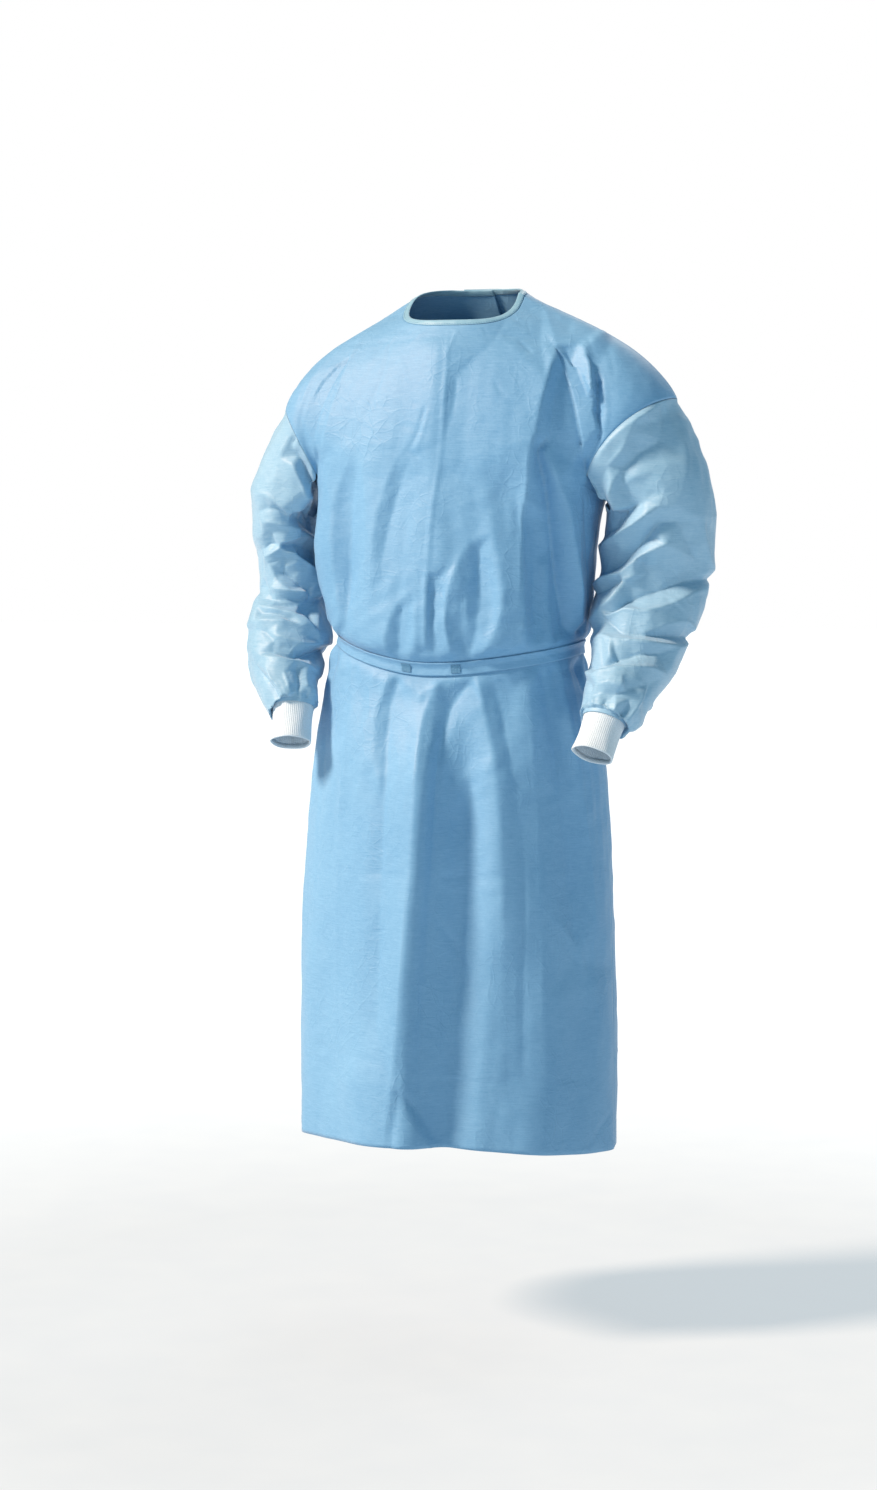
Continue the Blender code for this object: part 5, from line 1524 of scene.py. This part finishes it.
def belt_tab(side, finish):
    """A bonded tab on the belt, pressed with a pattern of small pits."""
    turns = np.linspace(*TAB_TURNS[side], TAB_POINTS)
    half = TAB_HEIGHT / 2
    rows = [(1.0, rise) for rise in np.linspace(half, -half, TAB_POINTS)]
    grid, normals = belt_grid(turns, rows)
    place = np.linspace(0.0, 1.0, TAB_POINTS)
    wave = np.abs(np.sin(place * math.pi * TAB_PITS))
    edge = ramp(np.minimum(place, 1.0 - place), 0.0, 0.06)
    pattern = TAB_PIT_DEPTH * np.outer(wave, wave) * np.outer(edge, edge)
    lift = BELT_WALL / 2 + SEAM_GAP + TAB_WALL / 2 - pattern
    made = mesh_object(f"belt_tab_{side}_bond", (grid + normals * lift[:, :, None]).reshape(-1, 3),
                       grid_faces(TAB_POINTS, TAB_POINTS), finish, TAB_WALL)
    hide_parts(f"belt_tab_{side}")
    return made


def wrap_of_knot(middle, tilt, across, deep, width, swell):
    """Points of one flat turn of the strap round the knot, as a closed tube."""
    ring = np.linspace(0.0, 2.0 * math.pi, 48, endpoint=False)
    section = np.linspace(0.0, 2.0 * math.pi, 14, endpoint=False)
    lean = math.radians(tilt)
    along = np.array([math.sin(lean), 0.0, math.cos(lean)])
    side = np.array([math.cos(lean), 0.0, -math.sin(lean)])
    out = np.array([0.0, 1.0, 0.0])
    points = []
    for angle in ring:
        spot = middle + along * across * math.cos(angle) + out * deep * math.sin(angle)
        push = unit(along * math.cos(angle) * 0.6 + out * math.sin(angle))
        wide = width * (1.0 + 0.12 * math.sin(3.0 * angle + tilt))
        ripple = 1.0 + 0.35 * np.cos(section * 4.0 + angle * 2.0) * np.abs(np.cos(section))
        points.append(spot + np.outer(np.cos(section) * wide, side)
                      + np.outer(np.sin(section) * swell * ripple, push))
    return np.concatenate(points), grid_faces(48, 14, closed=True)


def belt_knot(finish):
    """The knot, three crossing turns of the strap."""
    turns = np.array([BACK - 2.0, BACK, BACK + 2.0])
    grid = belt_grid(turns, belt_rows())[0]
    middle = 0.5 * (grid[0, 1] + grid[-1, 1])
    out = BELT_WALL / 2 + 2 * SEAM_GAP + KNOT_SIZE[1] / 2
    middle = middle + np.array([0.0, out, 0.0])
    points, faces, start = [], [], 0
    for tilt, across, deep, width, swell in KNOT_TURNS_MM:
        made, quads = wrap_of_knot(middle, tilt, across * 0.001, deep * 0.001, width * 0.001, swell * 0.001)
        joined = np.concatenate([quads, grid_faces_join(48, 14)])
        points.append(made)
        faces.extend((joined + start).tolist())
        start += len(made)
    made = mesh_object("belt_knot_wraps", np.concatenate(points), faces, finish)
    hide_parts("belt_knot")
    return made


def grid_faces_join(rows, count):
    """Quads that join a closed grid's last row to its first."""
    last, first = (rows - 1) * count + np.arange(count), np.arange(count)
    return np.stack([last, np.roll(last, -1), np.roll(first, -1), first], axis=1)


def belt_end(row, finish):
    """One hanging end of the belt over the back, pressed and slightly curled."""
    side, top_x, end_x, length = row
    grid = belt_grid(np.array([BACK - 2.0, BACK, BACK + 2.0]), belt_rows())[0]
    middle = 0.5 * (grid[0, 1] + grid[-1, 1])
    top = KNOT_SIZE[2] / 2 + TIE_DROP
    across = np.linspace(0.0, 1.0, STRAP_ROWS)
    lines, directions = [], []
    for part in np.linspace(0.0, 1.0, TIE_ROWS + 1):
        drop = top + part * length
        centre = top_x + (end_x - top_x) * part
        level = 1.0 + drop / abs(height_round(HEM_Z, BACK) - middle[2])
        reach = body_points(np.array([BACK]), level)[0, 1]
        width = BELT_WIDTH * (TIE_TOP + (1.0 - TIE_TOP) * ramp(part, 0.0, TIE_TAPER))
        turns = BACK - np.degrees(np.arctan2(centre + (across - 0.5) * width, reach))
        lift = TIE_LIFT * (2.0 - ramp(part, 0.0, TIE_SETTLE))
        rows = [(level - LEVEL_STEP,), (level,), (level + LEVEL_STEP,)]
        near, near_normals = shaped(body_points, rows, turns, lift, over_the_lap)
        gather = 1.0 - ramp(part, 0.0, TIE_TAPER)
        curl = TIE_CURL * ramp(part, 0.6, 1.0) * (across - 0.5) ** 2 * 4.0
        ripple = TIE_RIPPLE * gather * np.cos(across * 4.0 * math.pi)
        twist = TIE_TWIST * math.sin(part * 5.0 + top_x * 200.0) * (across - 0.5)
        follow = back_creases(near[1], near_normals[1])
        push = strap_lines(across) + curl + ripple + twist + follow
        lines.append(near[1] + near_normals[1] * push[:, None])
        directions.append(near_normals[1])
    made = mesh_object(f"belt_end_{side}_strap", np.concatenate(lines),
                       grid_faces(TIE_ROWS + 1, STRAP_ROWS), finish, STRAP_THICKNESS)
    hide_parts(f"belt_end_{side}")
    return made


class Nodes:
    """A short way to build a material's node tree."""

    def __init__(self, name):
        self.material = bpy.data.materials.new(name)
        self.material.use_nodes = True
        self.tree = self.material.node_tree
        self.shader = self.tree.nodes["Principled BSDF"]
        self.place = self.add("ShaderNodeTexCoord").outputs["Object"]

    def add(self, kind, **values):
        node = self.tree.nodes.new(kind)
        for key, value in values.items():
            setattr(node, key, value)
        return node

    def link(self, output, socket):
        self.tree.links.new(output, socket)

    def mapped(self, scale):
        node = self.add("ShaderNodeMapping")
        node.inputs["Scale"].default_value = scale
        self.link(self.place, node.inputs["Vector"])
        return node.outputs["Vector"]

    def noise(self, scale, detail=2.0, size=1.0):
        node = self.add("ShaderNodeTexNoise")
        node.inputs["Scale"].default_value = size
        node.inputs["Detail"].default_value = detail
        self.link(self.mapped(scale), node.inputs["Vector"])
        return node.outputs["Fac"]

    def cells(self, scale):
        node = self.add("ShaderNodeTexVoronoi")
        node.inputs["Scale"].default_value = 1.0
        self.link(self.mapped(scale), node.inputs["Vector"])
        return node.outputs["Distance"]

    def math(self, operation, first, second):
        node = self.add("ShaderNodeMath", operation=operation)
        for socket, value in zip(node.inputs, (first, second)):
            if isinstance(value, (int, float)):
                socket.default_value = value
            else:
                self.link(value, socket)
        return node.outputs[0]

    def span(self, value, low, high, from_low=0.0, from_high=1.0):
        node = self.add("ShaderNodeMapRange")
        limits = {"From Min": from_low, "From Max": from_high, "To Min": low, "To Max": high}
        for key, number in limits.items():
            node.inputs[key].default_value = number
        self.link(value, node.inputs["Value"])
        return node.outputs["Result"]

    def blend(self, factor, first, second):
        node = self.add("ShaderNodeMix", data_type="RGBA")
        self.link(factor, node.inputs["Factor"])
        for socket, colour in ((node.inputs[6], first), (node.inputs[7], second)):
            if isinstance(colour, tuple):
                socket.default_value = colour
            else:
                self.link(colour, socket)
        return node.outputs[2]

    def bump(self, height, strength, distance):
        node = self.add("ShaderNodeBump")
        node.inputs["Strength"].default_value = strength
        node.inputs["Distance"].default_value = distance
        self.link(height, node.inputs["Height"])
        self.link(node.outputs["Normal"], self.shader.inputs["Normal"])

    def set(self, **values):
        for key, value in values.items():
            self.shader.inputs[key.replace("_", " ")].default_value = value


def crackle(nodes, size, width):
    """Thin straight creases where crumpled cloth was folded, worn away in places."""
    warp = nodes.add("ShaderNodeTexNoise")
    warp.inputs["Scale"].default_value = 9.0
    nodes.link(nodes.place, warp.inputs["Vector"])
    moved = nodes.add("ShaderNodeMix", data_type="RGBA", blend_type="LINEAR_LIGHT")
    moved.inputs["Factor"].default_value = 0.03
    nodes.link(nodes.place, moved.inputs[6])
    nodes.link(warp.outputs["Color"], moved.inputs[7])
    cells = nodes.add("ShaderNodeTexVoronoi", feature="DISTANCE_TO_EDGE")
    cells.inputs["Scale"].default_value = 1.0 / size
    nodes.link(moved.outputs[2], cells.inputs["Vector"])
    line = nodes.span(cells.outputs["Distance"], 1.0, 0.0, 0.0, width / size)
    worn = nodes.span(nodes.noise((14.0, 14.0, 11.0), 2.0), 0.0, 1.0, 0.42, 0.62)
    return nodes.math("MULTIPLY", line, worn)


def nonwoven(name, dark, mid, light, sheen, rough):
    """Nonwoven cloth: level fibre streaks, bond points, a soft mottle and a soft sheen."""
    nodes = Nodes(name)
    streaks = nodes.noise((55.0, 55.0, 1500.0), 3.0)
    fibres = nodes.noise((260.0, 260.0, 2600.0), 2.0)
    mottle = nodes.noise((130.0, 130.0, 170.0), 3.0)
    clouds = nodes.noise((7.0, 7.0, 5.0), 2.0)
    bonds = nodes.cells((820.0, 820.0, 820.0))
    tone = nodes.math("ADD", nodes.span(streaks, -0.30, 0.30, 0.25, 0.75), nodes.span(mottle, -0.16, 0.16))
    tone = nodes.math("ADD", tone, nodes.span(clouds, 0.30, 0.70, 0.25, 0.75))
    body = nodes.blend(nodes.span(tone, 0.0, 1.0, 0.1, 0.9), dark, mid)
    colour = nodes.blend(nodes.span(fibres, 0.0, 0.22, 0.45, 0.8), body, light)
    nodes.link(colour, nodes.shader.inputs["Base Color"])
    nodes.link(nodes.span(mottle, rough, rough + 0.10), nodes.shader.inputs["Roughness"])
    height = nodes.math("ADD", nodes.math("MULTIPLY", streaks, 0.55), nodes.math("MULTIPLY", bonds, 0.30))
    height = nodes.math("ADD", height, nodes.math("MULTIPLY", fibres, 0.35))
    height = nodes.math("ADD", height, nodes.math("MULTIPLY", mottle, 1.2))
    folds = nodes.math("ADD", crackle(nodes, 0.046, 0.0030), crackle(nodes, 0.021, 0.0016))
    height = nodes.math("ADD", height, nodes.math("MULTIPLY", folds, 1.3))
    nodes.bump(height, 0.45, 0.0004)
    nodes.set(Sheen_Weight=sheen, Sheen_Roughness=0.45, Sheen_Tint=(1.0, 1.0, 1.0, 1.0), IOR=1.50)
    return nodes.material


def knit_cloth(name):
    """White ribbed knit: rows of small loops with fuzz."""
    nodes = Nodes(name)
    loops = nodes.noise((700.0, 700.0, 1500.0), 2.0)
    fuzz = nodes.noise((2400.0, 2400.0, 2400.0), 3.0)
    soil = nodes.noise((60.0, 60.0, 60.0), 2.0)
    tone = nodes.math("ADD", nodes.span(loops, 0.0, 0.7, 0.3, 0.7), nodes.span(soil, 0.0, 0.3))
    colour = nodes.blend(tone, (0.46, 0.58, 0.68, 1.0), (0.67, 0.81, 0.92, 1.0))
    nodes.link(colour, nodes.shader.inputs["Base Color"])
    nodes.link(nodes.span(fuzz, 0.80, 0.95), nodes.shader.inputs["Roughness"])
    nodes.bump(nodes.math("ADD", loops, nodes.math("MULTIPLY", fuzz, 0.4)), 0.5, 0.0003)
    nodes.set(Sheen_Weight=0.35, Sheen_Roughness=0.6, IOR=1.40)
    return nodes.material


def thread(name, colour):
    """Spun thread, twisted finely."""
    nodes = Nodes(name)
    twist = nodes.noise((3000.0, 3000.0, 3000.0), 2.0)
    darker = tuple(0.8 * value for value in colour[:3]) + (1.0,)
    nodes.link(nodes.blend(twist, darker, colour), nodes.shader.inputs["Base Color"])
    nodes.link(nodes.span(twist, 0.45, 0.65), nodes.shader.inputs["Roughness"])
    nodes.bump(twist, 0.3, 0.0002)
    return nodes.material


def floor_finish():
    """Grey matt floor with a faint tooth, made pale by painted light: it glows less near the gown, as painted
    shade, and more far away.
    """
    nodes = Nodes("studio_floor")
    grain = nodes.noise((9.0, 9.0, 9.0), 3.0)
    nodes.link(nodes.blend(grain, (0.21, 0.24, 0.27, 1.0), (0.25, 0.28, 0.30, 1.0)),
               nodes.shader.inputs["Base Color"])
    nodes.link(nodes.span(grain, 0.8, 0.95), nodes.shader.inputs["Roughness"])
    # Painted light: the floor glows by its distance from the gown, dimmer close to it as painted shade
    away = nodes.add("ShaderNodeVectorMath", operation="LENGTH")
    nodes.link(nodes.place, away.inputs[0])
    painted_floor_light = nodes.span(away.outputs["Value"], *FLOOR_PAINTED_LIGHT, *FLOOR_PAINTED_LIGHT_REACH)
    nodes.link(painted_floor_light, nodes.shader.inputs["Emission Strength"])
    nodes.set(Emission_Color=(0.94, 0.98, 1.0, 1.0))
    return nodes.material


def make_floor():
    size = FLOOR_SIZE / 2
    mesh = bpy.data.meshes.new("floor")
    corners = [(-size, -size, 0.0), (size, -size, 0.0), (size, size, 0.0), (-size, size, 0.0)]
    mesh.from_pydata(corners, [], [(0, 1, 2, 3)])
    mesh.materials.append(floor_finish())
    floor = bpy.data.objects.new("floor", mesh)
    floor.location.z = FLOOR_Z
    bpy.context.scene.collection.objects.link(floor)


def make_camera():
    data = bpy.data.cameras.new("camera")
    data.lens = LENS_MM
    data.sensor_fit = "VERTICAL"
    data.sensor_width = data.sensor_height = SENSOR_MM
    data.shift_x = (PHOTO_WIDTH / 2 - AXIS_PIXEL) / PHOTO_HEIGHT
    data.clip_start, data.clip_end = 0.1, 100.0
    camera = bpy.data.objects.new("camera", data)
    camera.location = camera_place()
    camera.rotation_euler = Vector(camera_axes()[2]).to_track_quat("-Z", "Y").to_euler()
    bpy.context.scene.collection.objects.link(camera)
    bpy.context.scene.camera = camera


def make_light(name, place, size, power, colour=(1.0, 1.0, 1.0)):
    """A square area light that looks at the middle of the gown."""
    data = bpy.data.lights.new(name, "AREA")
    data.shape = "SQUARE"
    data.size = size
    data.energy = power
    data.color = colour
    light = bpy.data.objects.new(name, data)
    light.location = place
    aim = Vector((0.0, 0.0, -0.6)) - Vector(place)
    light.rotation_euler = aim.to_track_quat("-Z", "Y").to_euler()
    bpy.context.scene.collection.objects.link(light)


def make_key():
    """A broad, soft sun from the front left."""
    data = bpy.data.lights.new("key", "SUN")
    data.energy = KEY_STRENGTH
    data.color = KEY_COLOUR
    data.angle = math.radians(KEY_ANGLE)
    light = bpy.data.objects.new("key", data)
    light.rotation_euler = (-Vector(KEY_FROM)).to_track_quat("-Z", "Y").to_euler()
    bpy.context.scene.collection.objects.link(light)


def make_world():
    """A pale room that is brighter to the eye than as a light."""
    world = bpy.data.worlds.new("studio")
    world.use_nodes = True
    tree = world.node_tree
    lit = tree.nodes["Background"]
    lit.inputs["Color"].default_value = WORLD_COLOUR
    lit.inputs["Strength"].default_value = WORLD_LIGHT
    seen = tree.nodes.new("ShaderNodeBackground")
    seen.inputs["Color"].default_value = (1.0, 1.0, 1.0, 1.0)
    seen.inputs["Strength"].default_value = WORLD_SEEN
    path = tree.nodes.new("ShaderNodeLightPath")
    either = tree.nodes.new("ShaderNodeMixShader")
    tree.links.new(path.outputs["Is Camera Ray"], either.inputs[0])
    tree.links.new(lit.outputs[0], either.inputs[1])
    tree.links.new(seen.outputs[0], either.inputs[2])
    tree.links.new(either.outputs[0], tree.nodes["World Output"].inputs["Surface"])
    bpy.context.scene.world = world
    bpy.context.scene.view_settings.view_transform = "Standard"


def main():
    make_camera()
    make_floor()
    make_world()
    make_key()
    for row in LIGHTS:
        make_light(*row)
    gown = nonwoven("gown_nonwoven", (0.095, 0.290, 0.530, 1.0), (0.178, 0.408, 0.655, 1.0),
                    (0.36, 0.57, 0.79, 1.0), 0.15, 0.52)
    sleeve_cloth = nonwoven("sleeve_nonwoven", (0.170, 0.375, 0.570, 1.0), (0.288, 0.505, 0.690, 1.0),
                            (0.46, 0.64, 0.80, 1.0), 0.25, 0.47)
    edging = nonwoven("edging_nonwoven", (0.160, 0.370, 0.530, 1.0), (0.260, 0.490, 0.650, 1.0),
                      (0.42, 0.63, 0.78, 1.0), 0.25, 0.40)
    bonded = nonwoven("bonded_nonwoven", (0.052, 0.190, 0.360, 1.0), (0.084, 0.250, 0.430, 1.0),
                      (0.150, 0.340, 0.520, 1.0), 0.10, 0.45)
    knit = knit_cloth("cuff_knit")
    blue_thread = thread("blue_thread", (0.20, 0.42, 0.62, 1.0))

    sheets = [
        cloth_panel("front", columns("front"), ("first", "last"), gown),
        cloth_panel("back_left", columns("left", BACK_LAP), ("first",), gown),
        cloth_panel("back_right", columns("right", BACK_LAP), ("first",), gown),
    ]
    for side in ("left", "right"):
        sheets.append(cloth_sleeve(side, sleeve_cloth))
        sheets.append(knit_cuff(side, knit))
    turns = binding_turns()
    top, down, outward = binding_frame(turns)
    path = top + down * STITCH_DROP + outward * STITCH_OUT
    stitching = stitches("neck_stitching", path, outward, STITCH_LENGTH, STITCH_SPACE, STITCH_RADIUS,
                         blue_thread)
    strap = waist_belt(gown)
    knot = belt_knot(gown)
    sheets.extend([neck_binding(edging), strap])
    sheets.extend(belt_tab(side, bonded) for side in ("left", "right"))
    sheets.extend(belt_end(row, gown) for row in TIES)


main()
